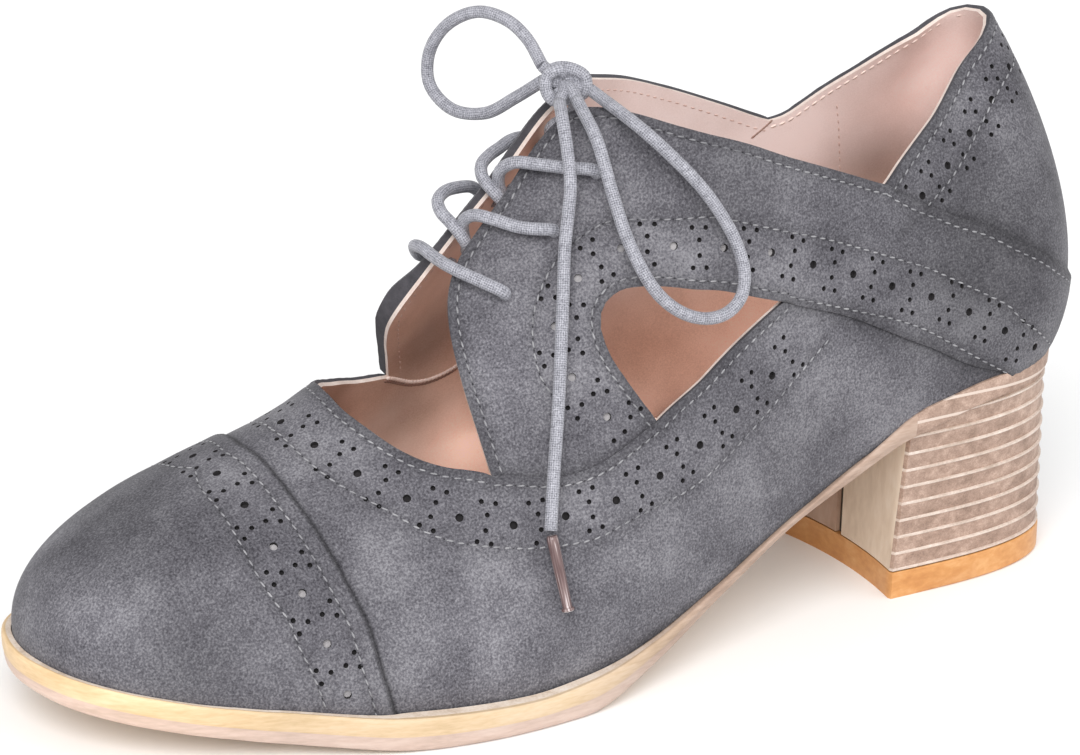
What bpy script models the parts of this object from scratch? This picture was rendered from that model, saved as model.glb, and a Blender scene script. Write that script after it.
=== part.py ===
import math

import bpy
import bmesh
import numpy as np
from mathutils.geometry import delaunay_2d_cdt

for old in list(bpy.data.objects):
    bpy.data.objects.remove(old, do_unlink=True)

# All sizes are millimetres until a mesh is made: +X to the toe, +Y to the wearer's left, +Z up
MM = 0.001
WALL = 2.0
GAP = 0.3
CAP_STEP = 0.9
STRAP_STEP = 0.9
PANEL_SINK = 0.7
EYELET_RADIUS = 1.75
INSOLE_THICK = 2.5
LACE_RADIUS = 1.35
LIFT_TOP = 5.8
LAYER = 3.75
LAYER_PROUD = 0.45
TOE_POLE = 82.0
HEEL_POLE = -86.0
TOE_RUN = 36.0
HEEL_RUN = 30.0
TOE_SLOPE = 0.40
PLANE_HALF = 60.0
MESH_STEP = 6.3
EDGE_STEP = 5.0

# Half widths of the feather edge between the two poles
PLAN_COLUMNS = ("x", "lateral", "medial")
PLAN = (
    (-86.0, 26.6, 26.6),
    (-62.0, 27.8, 26.9),
    (-35.0, 31.0, 26.5),
    (-10.0, 36.5, 29.0),
    (15.0, 42.0, 35.5),
    (38.0, 43.8, 40.0),
    (60.0, 41.3, 40.2),
    (82.0, 33.8, 34.2),
)
# Reach of the feather edge round the toe pole and the heel pole, by angle off the long axis
TOE_REACH = (
    (0.0, 35.0, 35.0),
    (20.0, 34.7, 34.7),
    (40.0, 33.3, 33.5),
    (58.0, 32.0, 32.5),
    (74.0, 31.9, 32.5),
    (90.0, 33.8, 34.2),
)
HEEL_REACH = (
    (0.0, 22.3, 22.3),
    (30.0, 23.1, 23.1),
    (60.0, 25.0, 25.0),
    (90.0, 26.6, 26.6),
)
# Sections of the last: each is one cubic from the feather edge over the wall and the shoulder to the top
SECTION_COLUMNS = ("x", "feather", "out", "wall_z", "shoulder", "shoulder_z", "top", "top_z")
SECTIONS = (
    (-118.0, 48.0, 18.0, 62.0, 23.0, 98.0, 8.5, 121.0),
    (-86.0, 45.0, 5.0, 65.0, 20.0, 96.0, 6.0, 116.0),
    (-72.0, 41.0, 4.0, 62.0, 23.0, 90.0, 12.5, 110.0),
    (-58.0, 37.5, 4.0, 58.0, 25.0, 85.0, 18.0, 108.0),
    (-35.0, 27.5, 3.5, 50.0, 28.0, 85.0, 21.0, 114.0),
    (-12.0, 17.0, 3.0, 42.0, 30.0, 88.0, 14.0, 118.0),
    (4.0, 11.0, 3.0, 38.0, 24.0, 98.0, 2.0, 112.0),
    (20.0, 7.2, 2.0, 34.0, 14.0, 92.0, 0.0, 96.0),
    (34.0, 5.8, 1.5, 30.0, 9.0, 80.0, 0.0, 82.0),
    (46.0, 5.9, 1.5, 29.0, 11.0, 65.5, 0.0, 67.5),
    (58.0, 6.2, 2.0, 30.0, 13.0, 55.6, 0.0, 56.0),
    (82.0, 8.5, 2.5, 28.0, 19.0, 45.4, 0.0, 45.5),
    (118.0, 14.5, 2.5, 30.0, 19.0, 31.5, 0.0, 31.5),
)
# Underside of the outsole and how far its edge stands out beyond the feather edge
SOLE_COLUMNS = ("x", "under", "ledge")
SOLE = (
    (-118.0, 45.3, 1.2),
    (-105.0, 44.2, 1.2),
    (-86.0, 42.0, 0.8),
    (-62.0, 33.9, 0.8),
    (-35.0, 24.8, 0.8),
    (-15.0, 15.2, 1.0),
    (5.0, 5.6, 2.2),
    (22.0, 0.0, 3.6),
    (52.0, 0.0, 4.2),
    (75.0, 2.2, 3.2),
    (100.0, 6.2, 2.8),
    (121.0, 10.0, 3.2),
)
# Side of the outsole from the ground up: share of the thickness and inset from the edge
SOLE_SIDE = (
    (0.0, 1.5),
    (0.10, 0.7),
    (0.48, 0.5),
    (0.52, 1.0),
    (0.60, 1.0),
    (0.64, 0.0),
    (0.92, 0.0),
    (1.0, 0.6),
)
# Heel block: half width, front and back of its outline at two heights
HEEL_COLUMNS = ("z", "half", "breast", "back")
HEEL = (
    (0.0, 23.2, -62.6, -110.6),
    (6.0, 23.4, -62.6, -110.6),
    (46.0, 26.4, -63.4, -109.2),
)
HEEL_SQUARE = 2.7
BREAST_HOLLOW = 2.6

# Pattern lines on the last, as stations along the foot and shares of the way up from the feather edge
THROAT = ((55.5, 1.0), (54.5, 0.815), (49.5, 0.631), (43.0, 0.525), (34.0, 0.438))
PANEL_FRONT = (
    (34.0, 0.438), (34.6, 0.52), (35.0, 0.619), (34.5, 0.719), (33.0, 0.788), (30.0, 0.838),
    (25.5, 0.863), (19.5, 0.888), (13.0, 0.925), (8.0, 0.937), (4.6, 0.938),
)
STRAP_TOP = (
    (4.6, 0.938), (1.8, 0.930), (-1.0, 0.918), (-7.0, 0.894), (-15.5, 0.869), (-25.5, 0.850), (-36.0, 0.819),
    (-48.5, 0.781), (-58.0, 0.738),
)
COUNTER_TOP = (
    (-58.0, 0.738), (-63.0, 0.781), (-71.5, 0.826), (-81.0, 0.870), (-92.0, 0.915), (-104.0, 0.940),
    (-116.0, 0.945),
)
PANEL_FOOT = ((34.0, 0.438), (22.0, 0.375), (14.0, 0.363), (6.5, 0.374), (0.5, 0.388))
CUTOUT_FRONT = (
    (0.5, 0.388), (5.0, 0.450), (8.5, 0.513), (9.2, 0.562), (8.0, 0.583), (5.5, 0.594), (0.0, 0.597),
)
CUTOUT_TOP = ((0.0, 0.597), (-8.0, 0.600), (-16.5, 0.588), (-30.5, 0.537))
CUTOUT_REAR = ((-30.5, 0.537), (-17.5, 0.481), (-6.5, 0.425), (0.5, 0.388))
STRAP_LOW = ((-30.5, 0.537), (-46.0, 0.444), (-65.0, 0.256), (-78.0, 0.105), (-87.0, 0.0))
STRAP_OVER = (
    (-58.0, 0.738), (-75.5, 0.556), (-90.5, 0.375), (-97.5, 0.300), (-105.0, 0.235), (-116.0, 0.200),
)
CAP_EDGE = (
    (72.8, 1.0), (72.0, 0.894), (70.5, 0.681), (69.0, 0.562), (67.5, 0.450), (66.0, 0.350), (64.5, 0.263),
    (63.5, 0.156), (62.0, 0.062), (61.0, 0.0),
)
EYELETS = ((24.0, 0.694), (13.5, 0.738), (4.0, 0.794))
# The far side's own lines where they differ, and how far its panel leans in over the instep
MEDIAL_THROAT = ((55.5, 1.0), (53.5, 0.83), (48.5, 0.68), (44.0, 0.60), (37.5, 0.51), (30.8, 0.458))
MEDIAL_FRONT = (
    (30.8, 0.458), (32.0, 0.53), (33.3, 0.62), (33.8, 0.719), (33.0, 0.788), (30.0, 0.838),
    (25.5, 0.863), (19.5, 0.888), (13.0, 0.925), (8.0, 0.937), (4.6, 0.938),
)
MEDIAL_TOP = (
    (4.6, 0.938), (1.8, 0.934), (-1.0, 0.925), (-7.0, 0.906), (-14.0, 0.887), (-25.5, 0.872), (-38.0, 0.843),
    (-50.0, 0.809), (-58.5, 0.768),
)
MEDIAL_COUNTER = (
    (-58.5, 0.768), (-62.0, 0.774), (-66.3, 0.803), (-71.0, 0.836), (-80.0, 0.886), (-92.0, 0.917),
    (-104.0, 0.940), (-116.0, 0.945),
)
MEDIAL_FOOT = ((30.8, 0.458), (22.0, 0.385), (14.0, 0.363), (6.5, 0.374), (0.5, 0.388))
MEDIAL_OVER = (
    (-58.5, 0.768), (-75.5, 0.565), (-90.5, 0.375), (-97.5, 0.300), (-105.0, 0.235), (-116.0, 0.200),
)
LEAN = ((-30.0, 0.0), (-12.0, 0.3), (4.0, 1.0), (32.0, 1.0), (44.0, 0.6), (55.0, 0.0))
LEAN_SHOULDER = 5.2
LEAN_TOP = 1.95
LEAN_DROP = 1.2

# Lace routes: station, share of the way up and lift off the last; points over the gap in the shoe's own frame
BAR_NEAR = ((24.0, 0.694, 1.0), (27.0, 0.7425, 1.9), (30.5, 0.8175, 2.2))
BAR_OVER = ((32.6, 3.5, 81.8), (32.9, -1.5, 82.5), (32.4, -5.5, 81.7))
BAR_FAR = ((28.0, 0.745, 2.2), (24.0, 0.694, 1.0))
NEAR_CROSS = (
    ((13.5, 0.738, 1.0), (16.0, 0.757, 1.8), (18.5, 0.782, 2.1), (22.2, 0.842, 2.2)),
    ((4.0, 0.794, 1.0), (6.0, 0.805, 1.8), (8.0, 0.8175, 2.0), (12.7, 0.870, 2.1)),
)
NEAR_DIVE = (
    ((25.3, 5.6, 90.0), (26.0, 2.6, 88.2), (25.3, 0.9, 85.3), (23.8, 0.0, 81.8)),
    ((16.6, 5.8, 99.4), (18.0, 2.8, 97.4), (17.7, 1.1, 94.5), (16.1, 0.2, 91.0)),
)
FAR_CROSS = (
    ((13.5, 0.738, 1.0),),
    ((4.0, 0.794, 1.0),),
)
FAR_DIVE = (
    (
        (17.1, -10.5, 90.1), (21.3, -8.4, 91.2), (25.5, -6.2, 91.5), (28.2, -4.0, 90.6), (28.6, -1.9, 89.0),
        (27.9, 0.4, 87.6), (26.9, 2.3, 85.8), (25.4, 3.2, 83.2), (23.2, 4.4, 80.3),
    ),
    (
        (8.6, -10.2, 98.6), (12.6, -8.0, 98.0), (16.1, -5.7, 97.6), (18.8, -3.7, 96.6), (19.8, -1.6, 95.1),
        (19.6, 0.4, 93.8), (18.9, 2.2, 92.5), (17.3, 3.3, 90.4), (15.2, 4.7, 88.2),
    ),
)
KNOT_CENTRE = (4.2, 2.3, 112.8)
KNOT_RADII = (4.4, 5.8, 4.2)
NEAR_LOOP = (
    (2.8, 0.838, 6.0), (2.8, 0.795, 4.9), (2.8, 0.740, 4.2), (2.0, 0.660, 4.0), (-1.0, 0.588, 4.0),
    (-5.0, 0.560, 4.0), (-9.5, 0.552, 4.0), (-14.0, 0.556, 4.0), (-17.5, 0.578, 4.0), (-18.8, 0.618, 4.0),
    (-18.0, 0.668, 4.0), (-15.6, 0.720, 4.1), (-12.4, 0.768, 4.3), (-9.0, 0.816, 4.8), (-5.6, 0.859, 6.0),
)
NEAR_END = (
    (6.5, 0.895, 6.2), (7.75, 0.825, 5.1), (8.75, 0.780, 4.7), (10.25, 0.7425, 3.9), (12.25, 0.695, 3.2),
    (14.75, 0.620, 2.7), (19.75, 0.4825, 2.6), (23.5, 0.3825, 2.6), (26.25, 0.306, 2.8),
)
NEAR_AGLET = ((26.25, 0.302, 2.8), (25.25, 0.165, 2.4))
FAR_END = (
    (-3.0, 0.915, 3.0), (-6.5, 0.872, 2.5), (-7.0, 0.810, 2.3), (-4.0, 0.730, 2.3), (1.0, 0.650, 2.4),
    (6.5, 0.560, 2.5), (12.0, 0.460, 2.6), (16.0, 0.385, 2.6), (18.0, 0.330, 2.8),
)
FAR_AGLET = ((18.05, 0.326, 2.8), (18.6, 0.208, 2.4))
FAR_LOOP = (
    (6.6, -7.9, 119.4), (8.7, -11.7, 122.3), (12.0, -17.8, 123.1), (15.5, -24.2, 119.3), (17.5, -27.7, 113.0),
    (17.4, -27.5, 106.6), (14.8, -23.2, 102.4), (11.0, -16.4, 102.8), (7.7, -10.4, 107.0),
)
# Ways out of the knot for each strand
KNOT_WAYS = {
    "loop_near_a": (0.08, 0.95, -0.28),
    "loop_near_b": (-0.78, 0.58, -0.22),
    "end_near": (0.55, 0.70, -0.46),
    "loop_far_a": (0.33, -0.85, 0.42),
    "loop_far_b": (0.16, -0.97, -0.16),
    "end_far": (-0.36, -0.92, -0.14),
}

COLOURS = {
    "upper": ((0.125, 0.130, 0.145), 0.85),
    "insole": ((0.62, 0.44, 0.36), 0.6),
    "outsole": ((0.66, 0.47, 0.30), 0.5),
    "heel_stack": ((0.52, 0.41, 0.31), 0.55),
    "top_lift": ((0.72, 0.36, 0.11), 0.45),
    "lace": ((0.27, 0.28, 0.32), 0.6),
    "aglet": ((0.20, 0.17, 0.17), 0.4),
}


def smooth(rows, column, x):
    xs = np.array([row[0] for row in rows], float)
    ys = np.array([row[column] for row in rows], float)
    x = min(max(float(x), xs[0]), xs[-1])
    run = np.diff(xs)
    grade = np.diff(ys) / run
    slope = np.empty_like(ys)
    slope[0] = grade[0]
    slope[-1] = grade[-1]
    for i in range(1, len(xs) - 1):
        if grade[i - 1] * grade[i] <= 0.0:
            slope[i] = 0.0
        else:
            a = 2.0 * run[i] + run[i - 1]
            b = run[i] + 2.0 * run[i - 1]
            slope[i] = (a + b) / (a / grade[i - 1] + b / grade[i])
    k = min(max(int(np.searchsorted(xs, x)) - 1, 0), len(xs) - 2)
    t = (x - xs[k]) / run[k]
    low = ys[k] * (1 + 2 * t) * (1 - t) ** 2 + slope[k] * run[k] * t * (1 - t) ** 2
    high = ys[k + 1] * t * t * (3 - 2 * t) + slope[k + 1] * run[k] * t * t * (t - 1)
    return float(low + high)


def section(name, x):
    return smooth(SECTIONS, SECTION_COLUMNS.index(name), x)


def sole_under(x):
    return smooth(SOLE, SOLE_COLUMNS.index("under"), x)


def sole_top(x):
    return section("feather", x) - GAP


def reach(side, station):
    # Foot of the section: origin on the long axis, direction outward and half width at the feather edge
    column = 1 if side > 0 else 2
    if station > TOE_POLE:
        angle = 90.0 - (station - TOE_POLE) / TOE_RUN * 90.0
        width = smooth(TOE_REACH, column, angle)
        turn = math.radians(angle)
        return TOE_POLE, math.cos(turn), side * math.sin(turn), width
    if station < HEEL_POLE:
        angle = 90.0 - (HEEL_POLE - station) / HEEL_RUN * 90.0
        width = smooth(HEEL_REACH, column, angle)
        turn = math.radians(angle)
        return HEEL_POLE, -math.cos(turn), side * math.sin(turn), width
    return station, 0.0, float(side), smooth(PLAN, column, station)


def last_point(side, station, level):
    origin, dx, dy, width = reach(side, station)
    x = origin + dx * width
    shoulder = section("shoulder", x)
    shoulder_z = section("shoulder_z", x)
    top_z = section("top_z", x)
    lean = smooth(LEAN, 1, x) if side < 0 else 0.0
    if station > TOE_POLE:
        shoulder_z = section("shoulder_z", TOE_POLE) - TOE_SLOPE * shoulder * dx
        top_z = section("top_z", TOE_POLE)
    a = (1.0 - level) ** 3
    b = 3.0 * level * (1.0 - level) ** 2
    c = 3.0 * level * level * (1.0 - level)
    d = level ** 3
    h = a * width + b * (width + section("out", x)) + c * shoulder + d * section("top", x)
    h -= lean * (c * LEAN_SHOULDER + d * LEAN_TOP)
    z = a * section("feather", x) + b * section("wall_z", x) + c * shoulder_z + d * (top_z - lean * LEAN_DROP)
    return np.array((origin + dx * h, dy * h, z))


def last_normal(side, station, level):
    if station >= TOE_POLE and level > 0.97:
        up = np.array((TOE_SLOPE, 0.0, 1.0))
        return up / np.linalg.norm(up)
    s0 = max(station - 0.4, HEEL_POLE - HEEL_RUN)
    s1 = min(station + 0.4, TOE_POLE + TOE_RUN)
    t0 = max(level - 0.01, 0.0)
    t1 = min(level + 0.01, 1.0)
    along = last_point(side, s1, level) - last_point(side, s0, level)
    upward = last_point(side, station, t1) - last_point(side, station, t0)
    normal = np.cross(along, upward) * (-side)
    if level > 0.999:
        normal[1] = 0.0
    return normal / np.linalg.norm(normal)


def off_last(side, station, level, lift):
    return last_point(side, station, level) + last_normal(side, station, level) * lift


# The last is laid out flat as a long rounded plane: the feather edge is its rim, the ridge its middle line
def to_plane(side, station, level):
    r = (1.0 - level) * PLANE_HALF
    if station > TOE_POLE:
        turn = math.radians(90.0 - (station - TOE_POLE) / TOE_RUN * 90.0)
        return np.array((TOE_POLE + r * math.cos(turn), side * r * math.sin(turn)))
    if station < HEEL_POLE:
        turn = math.radians(90.0 - (HEEL_POLE - station) / HEEL_RUN * 90.0)
        return np.array((HEEL_POLE - r * math.cos(turn), side * r * math.sin(turn)))
    return np.array((station, side * r))


def from_plane(p):
    side = 1 if p[1] >= 0.0 else -1
    if p[0] > TOE_POLE:
        r = math.hypot(p[0] - TOE_POLE, p[1])
        angle = math.degrees(math.atan2(abs(p[1]), p[0] - TOE_POLE))
        return side, TOE_POLE + (90.0 - angle) / 90.0 * TOE_RUN, max(1.0 - r / PLANE_HALF, 0.0)
    if p[0] < HEEL_POLE:
        r = math.hypot(p[0] - HEEL_POLE, p[1])
        angle = math.degrees(math.atan2(abs(p[1]), HEEL_POLE - p[0]))
        return side, HEEL_POLE - (90.0 - angle) / 90.0 * HEEL_RUN, max(1.0 - r / PLANE_HALF, 0.0)
    return side, float(p[0]), max(1.0 - abs(p[1]) / PLANE_HALF, 0.0)


def spline(points, step):
    # A smooth line through the given points, read at even steps with both ends kept
    pts = [np.array(p, float) for p in points]
    pts = [2 * pts[0] - pts[1]] + pts + [2 * pts[-1] - pts[-2]]
    fine = []
    for i in range(1, len(pts) - 2):
        p0, p1, p2, p3 = pts[i - 1:i + 3]
        t1 = np.linalg.norm(p1 - p0) ** 0.5
        t2 = t1 + np.linalg.norm(p2 - p1) ** 0.5
        t3 = t2 + np.linalg.norm(p3 - p2) ** 0.5
        for k in range(24):
            t = t1 + (t2 - t1) * k / 24.0
            a1 = (t1 - t) / t1 * p0 + t / t1 * p1
            a2 = (t2 - t) / (t2 - t1) * p1 + (t - t1) / (t2 - t1) * p2
            a3 = (t3 - t) / (t3 - t2) * p2 + (t - t2) / (t3 - t2) * p3
            b1 = (t2 - t) / t2 * a1 + t / t2 * a2
            b2 = (t3 - t) / (t3 - t1) * a2 + (t - t1) / (t3 - t1) * a3
            fine.append((t2 - t) / (t2 - t1) * b1 + (t - t1) / (t2 - t1) * b2)
    fine.append(pts[-2])
    fine = np.array(fine)
    run = np.concatenate(((0.0,), np.cumsum(np.linalg.norm(np.diff(fine, axis=0), axis=1))))
    count = max(2, int(math.ceil(run[-1] / step)) + 1)
    at = np.linspace(0.0, run[-1], count)
    return np.stack([np.interp(at, run, fine[:, k]) for k in range(fine.shape[1])], axis=1)


def pattern_line(rows, side, step=EDGE_STEP):
    # Rows of station and share become points of the flat plane
    return spline([to_plane(side, station, level) for station, level in rows], step)


def inside(poly, p):
    hit = False
    j = len(poly) - 1
    for i in range(len(poly)):
        if (poly[i][1] > p[1]) != (poly[j][1] > p[1]):
            cut = (poly[j][0] - poly[i][0]) * (p[1] - poly[i][1]) / (poly[j][1] - poly[i][1]) + poly[i][0]
            if p[0] < cut:
                hit = not hit
        j = i
    return hit


def eyelet_ring(side, station, level, radius, count):
    # A round hole on the last, carried back to the flat plane
    along = last_point(side, station + 0.5, level) - last_point(side, station - 0.5, level)
    upward = (last_point(side, station, level + 0.01) - last_point(side, station, level - 0.01)) / 0.02
    u = along / np.linalg.norm(along)
    v = upward - u * np.dot(upward, u)
    v /= np.linalg.norm(v)
    basis = np.array(((np.dot(along, u), np.dot(upward, u)), (0.0, np.dot(upward, v))))
    ring = []
    for k in range(count):
        turn = 2.0 * math.pi * k / count
        ds, dl = np.linalg.solve(basis, (radius * math.cos(turn), radius * math.sin(turn)))
        ring.append(to_plane(side, station + ds, level + dl))
    return np.array(ring)


def paint(obj, key, name):
    colour, rough = COLOURS[key]
    mat = bpy.data.materials.new(name)
    mat.use_nodes = True
    bsdf = mat.node_tree.nodes["Principled BSDF"]
    bsdf.inputs["Base Color"].default_value = (*colour, 1.0)
    bsdf.inputs["Roughness"].default_value = rough
    bsdf.inputs["Metallic"].default_value = 0.0
    obj.data.materials.clear()
    obj.data.materials.append(mat)


def solid(name, key, verts, faces):
    bm = bmesh.new()
    made = [bm.verts.new(tuple(np.array(v) * MM)) for v in verts]
    for face in faces:
        bm.faces.new([made[i] for i in face])
    bmesh.ops.recalc_face_normals(bm, faces=bm.faces[:])
    bmesh.ops.triangulate(bm, faces=bm.faces[:])
    mesh = bpy.data.meshes.new(name)
    bm.to_mesh(mesh)
    bm.free()
    obj = bpy.data.objects.new(name, mesh)
    bpy.context.scene.collection.objects.link(obj)
    paint(obj, key, name + "_finish")
    return obj


# Upper: one hollow shell, its overlays raised as steps in the wall
def build_upper():
    points = []
    index = {}
    edges = []

    def add(p):
        key = (round(float(p[0]), 3), round(float(p[1]), 3))
        if key not in index:
            index[key] = len(points)
            points.append(key)
        return index[key]

    def chain(line, closed=False):
        ids = [add(p) for p in line]
        pairs = list(zip(ids[:-1], ids[1:]))
        if closed:
            pairs.append((ids[-1], ids[0]))
        edges.extend(p for p in pairs if p[0] != p[1])
        return line

    rim_back = np.linspace(-116.0, HEEL_POLE, 9)[:-1]
    rim_toe = np.linspace(TOE_POLE, 118.0, 12)[1:]
    rim_stations = np.concatenate((rim_back, np.linspace(HEEL_POLE, TOE_POLE, 33), rim_toe))
    marks = sorted(set(rim_stations) | {CAP_EDGE[-1][0], STRAP_LOW[-1][0]})
    marks = [m for m in marks if m in (CAP_EDGE[-1][0], STRAP_LOW[-1][0])
             or min(abs(m - CAP_EDGE[-1][0]), abs(m - STRAP_LOW[-1][0])) > 1.5]
    for side in (1, -1):
        chain([to_plane(side, s, 0.0) for s in marks])

    mouths = {}
    holes = []
    straps = []
    for side in (1, -1):
        near = side > 0
        throat = chain(pattern_line(THROAT if near else MEDIAL_THROAT, side))
        front = chain(pattern_line(PANEL_FRONT if near else MEDIAL_FRONT, side))
        top = chain(pattern_line(STRAP_TOP if near else MEDIAL_TOP, side))
        counter = chain(pattern_line(COUNTER_TOP if near else MEDIAL_COUNTER, side, step=1.8))
        foot = chain(pattern_line(PANEL_FOOT if near else MEDIAL_FOOT, side))
        cut_front = chain(pattern_line(CUTOUT_FRONT, side, step=4.0))
        cut_top = chain(pattern_line(CUTOUT_TOP, side))
        cut_rear = chain(pattern_line(CUTOUT_REAR, side))
        low = chain(pattern_line(STRAP_LOW, side))
        over = chain(pattern_line(STRAP_OVER if near else MEDIAL_OVER, side))
        chain(pattern_line(CAP_EDGE, side))
        mouths[side] = np.concatenate((throat, front, top, counter))
        holes.append(np.concatenate((cut_front, cut_top, cut_rear)))
        rim = np.array([to_plane(side, s, -0.02) for s in np.linspace(-87.0, -116.0, 12)])
        straps.append(np.concatenate((
            foot, cut_rear[::-1], low, rim, over[::-1], top[::-1], front[::-1])))
        for station, level in EYELETS:
            ring = eyelet_ring(side, station, level, EYELET_RADIUS, 10)
            chain(ring, closed=True)
            holes.append(ring)
    holes.append(np.concatenate((mouths[1], mouths[-1][::-1])))

    fixed = np.array(points)
    rows = int(2 * PLANE_HALF / (MESH_STEP * 0.866))
    ridge_row = rows // 2
    for j in range(-ridge_row, ridge_row + 1):
        y = j * MESH_STEP * 0.866
        shift = 0.5 * MESH_STEP if j % 2 else 0.0
        for x in np.arange(HEEL_POLE - PLANE_HALF, TOE_POLE + PLANE_HALF, MESH_STEP):
            p = np.array((x + shift, y))
            near_pole = min(max(p[0], HEEL_POLE), TOE_POLE)
            if math.hypot(p[0] - near_pole, y) > PLANE_HALF - 2.5:
                continue
            if np.min(np.hypot(fixed[:, 0] - p[0], fixed[:, 1] - p[1])) < 3.0:
                continue
            if any(inside(hole, p) for hole in holes):
                continue
            add(p)

    flat, _, tris, _, _, _ = delaunay_2d_cdt(points, edges, [], 0, 1e-5)
    flat = [np.array((p[0], p[1])) for p in flat]
    kept = []
    for tri in tris:
        mid = sum(flat[i] for i in tri) / 3.0
        if any(inside(hole, mid) for hole in holes):
            continue
        corner = [flat[i] for i in tri]
        area = (corner[1][0] - corner[0][0]) * (corner[2][1] - corner[0][1])
        area -= (corner[2][0] - corner[0][0]) * (corner[1][1] - corner[0][1])
        if abs(area) < 1e-6:
            continue
        if inside(straps[0], mid) or inside(straps[1], mid):
            region = "strap"
        else:
            side, station, level = from_plane(mid)
            levels = [row[1] for row in CAP_EDGE][::-1]
            edge = np.interp(level, levels, [row[0] for row in CAP_EDGE][::-1])
            region = "cap" if station > edge else "base"
        kept.append((tuple(tri) if area > 0 else (tri[0], tri[2], tri[1]), region))

    def lift(region, station):
        if region == "cap":
            return CAP_STEP
        if region == "strap":
            share = min(max((0.0 - station) / 30.0, 0.0), 1.0)
            share = share * share * (3.0 - 2.0 * share)
            return -PANEL_SINK + (PANEL_SINK + STRAP_STEP) * share
        return 0.0

    verts = []
    stacks = {}

    def corner(i, region):
        stack = stacks.setdefault(i, {})
        if region in stack:
            return stack[region][1]
        side, station, level = from_plane(flat[i])
        amount = -WALL if region == "inner" else lift(region, station)
        for height, vid in stack.values():
            if abs(height - amount) < 1e-6:
                stack[region] = (amount, vid)
                return vid
        p = last_point(side, station, level)
        n = last_normal(side, station, level)
        q = p + n * amount
        if level < 1e-3:
            q[2] = section("feather", q[0])
        verts.append(q)
        stack[region] = (amount, len(verts) - 1)
        return len(verts) - 1

    faces = []
    owner = {}
    for tri, region in kept:
        faces.append([corner(i, region) for i in tri])
        faces.append([corner(i, "inner") for i in reversed(tri)])
        for a, b in ((tri[0], tri[1]), (tri[1], tri[2]), (tri[2], tri[0])):
            owner[(a, b)] = region

    def upright(i, low, high):
        # Every corner stacked at this point from one region's skin up to another's
        a = stacks[i][low][0]
        b = stacks[i][high][0]
        found = {vid: h for h, vid in stacks[i].values() if min(a, b) - 1e-7 <= h <= max(a, b) + 1e-7}
        line = sorted(found, key=lambda vid: found[vid])
        return line if a <= b else line[::-1]

    for (a, b), region in owner.items():
        other = owner.get((b, a), "inner")
        if other == region:
            continue
        if other != "inner" and (b, a) in owner and (a > b):
            continue
        loop = upright(a, region, other) + upright(b, other, region)
        clean = []
        for vid in loop:
            if not clean or clean[-1] != vid:
                clean.append(vid)
        if clean[0] == clean[-1]:
            clean.pop()
        if len(clean) > 2:
            faces.append(clean)
    return solid("upper", "upper", verts, faces)


# Plan outline: lateral side from heel to toe, then back along the medial side
def outline(stations, grow):
    ring = []
    for side, run in ((1, stations), (-1, stations[-2:0:-1])):
        for s in run:
            origin, dx, dy, width = reach(side, s)
            edge = origin + dx * width
            w = width + grow(edge)
            ring.append((origin + dx * w, dy * w))
    return ring


def ladder(n):
    # Faces across a closed outline of 2n-2 points, lateral to medial
    total = 2 * n - 2
    faces = []
    for i in range(n - 1):
        a, b = i, i + 1
        c, d = (total - i - 1) % total, (total - i) % total
        ring = []
        for k in (a, b, c, d):
            if k not in ring:
                ring.append(k)
        faces.append(ring)
    return faces


def stack_loops(name, key, loops, cap):
    verts = [p for loop in loops for p in loop]
    n = len(loops[0])
    faces = [[i for i in reversed(face)] for face in cap]
    for k in range(len(loops) - 1):
        for i in range(n):
            j = (i + 1) % n
            faces.append((k * n + i, k * n + j, (k + 1) * n + j, (k + 1) * n + i))
    top = (len(loops) - 1) * n
    faces += [[top + i for i in face] for face in cap]
    return solid(name, key, verts, faces)


def sole_stations():
    back = np.linspace(-116.0, HEEL_POLE, 9)[:-1]
    waist = np.linspace(HEEL_POLE, 22.0, 15)[:-1]
    ball = np.linspace(22.0, 52.0, 6)
    fore = np.linspace(52.0, TOE_POLE, 6)[1:]
    toe = np.linspace(TOE_POLE, 118.0, 11)[1:]
    return list(np.concatenate((back, waist, ball, fore, toe)))


def build_outsole():
    stations = sole_stations()
    loops = []
    for share, inset in SOLE_SIDE:
        ring = outline(stations, lambda x: smooth(SOLE, SOLE_COLUMNS.index("ledge"), x) - inset)
        loops.append([(x, y, sole_under(x) + share * (sole_top(x) - sole_under(x))) for x, y in ring])
    return stack_loops("outsole", "outsole", loops, ladder(len(stations)))


def build_insole():
    stations = sole_stations()
    loops = []
    for share, inset in ((0.0, 0.5), (0.3, 0.15), (0.8, 0.15), (1.0, 0.8)):
        ring = outline(stations, lambda x: -WALL - 0.35 - inset)
        loops.append([(x, y, section("feather", x) + share * INSOLE_THICK) for x, y in ring])
    return stack_loops("insole", "insole", loops, ladder(len(stations)))


def heel_ring(z, inset):
    # Flat hollowed breast in front, a squared half oval behind
    half = np.interp(z, [row[0] for row in HEEL], [row[1] for row in HEEL]) - inset
    breast = np.interp(z, [row[0] for row in HEEL], [row[2] for row in HEEL])
    back = np.interp(z, [row[0] for row in HEEL], [row[3] for row in HEEL]) + inset
    depth = breast - 1.5 - back
    ring = []
    for k in range(23):
        turn = math.pi * (k / 22.0 - 0.5)
        c = max(math.cos(turn), 0.0) ** (2.0 / HEEL_SQUARE)
        s = math.copysign(abs(math.sin(turn)) ** (2.0 / HEEL_SQUARE), turn)
        ring.append((breast - 1.5 - depth * c, half * s))
    for k in range(7):
        y = half * (1.0 - 2.0 * (k + 0.55) / 7.1) * 0.985
        ring.append((breast - BREAST_HOLLOW * (1.0 - (y / half) ** 2), y))
    return ring


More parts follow.
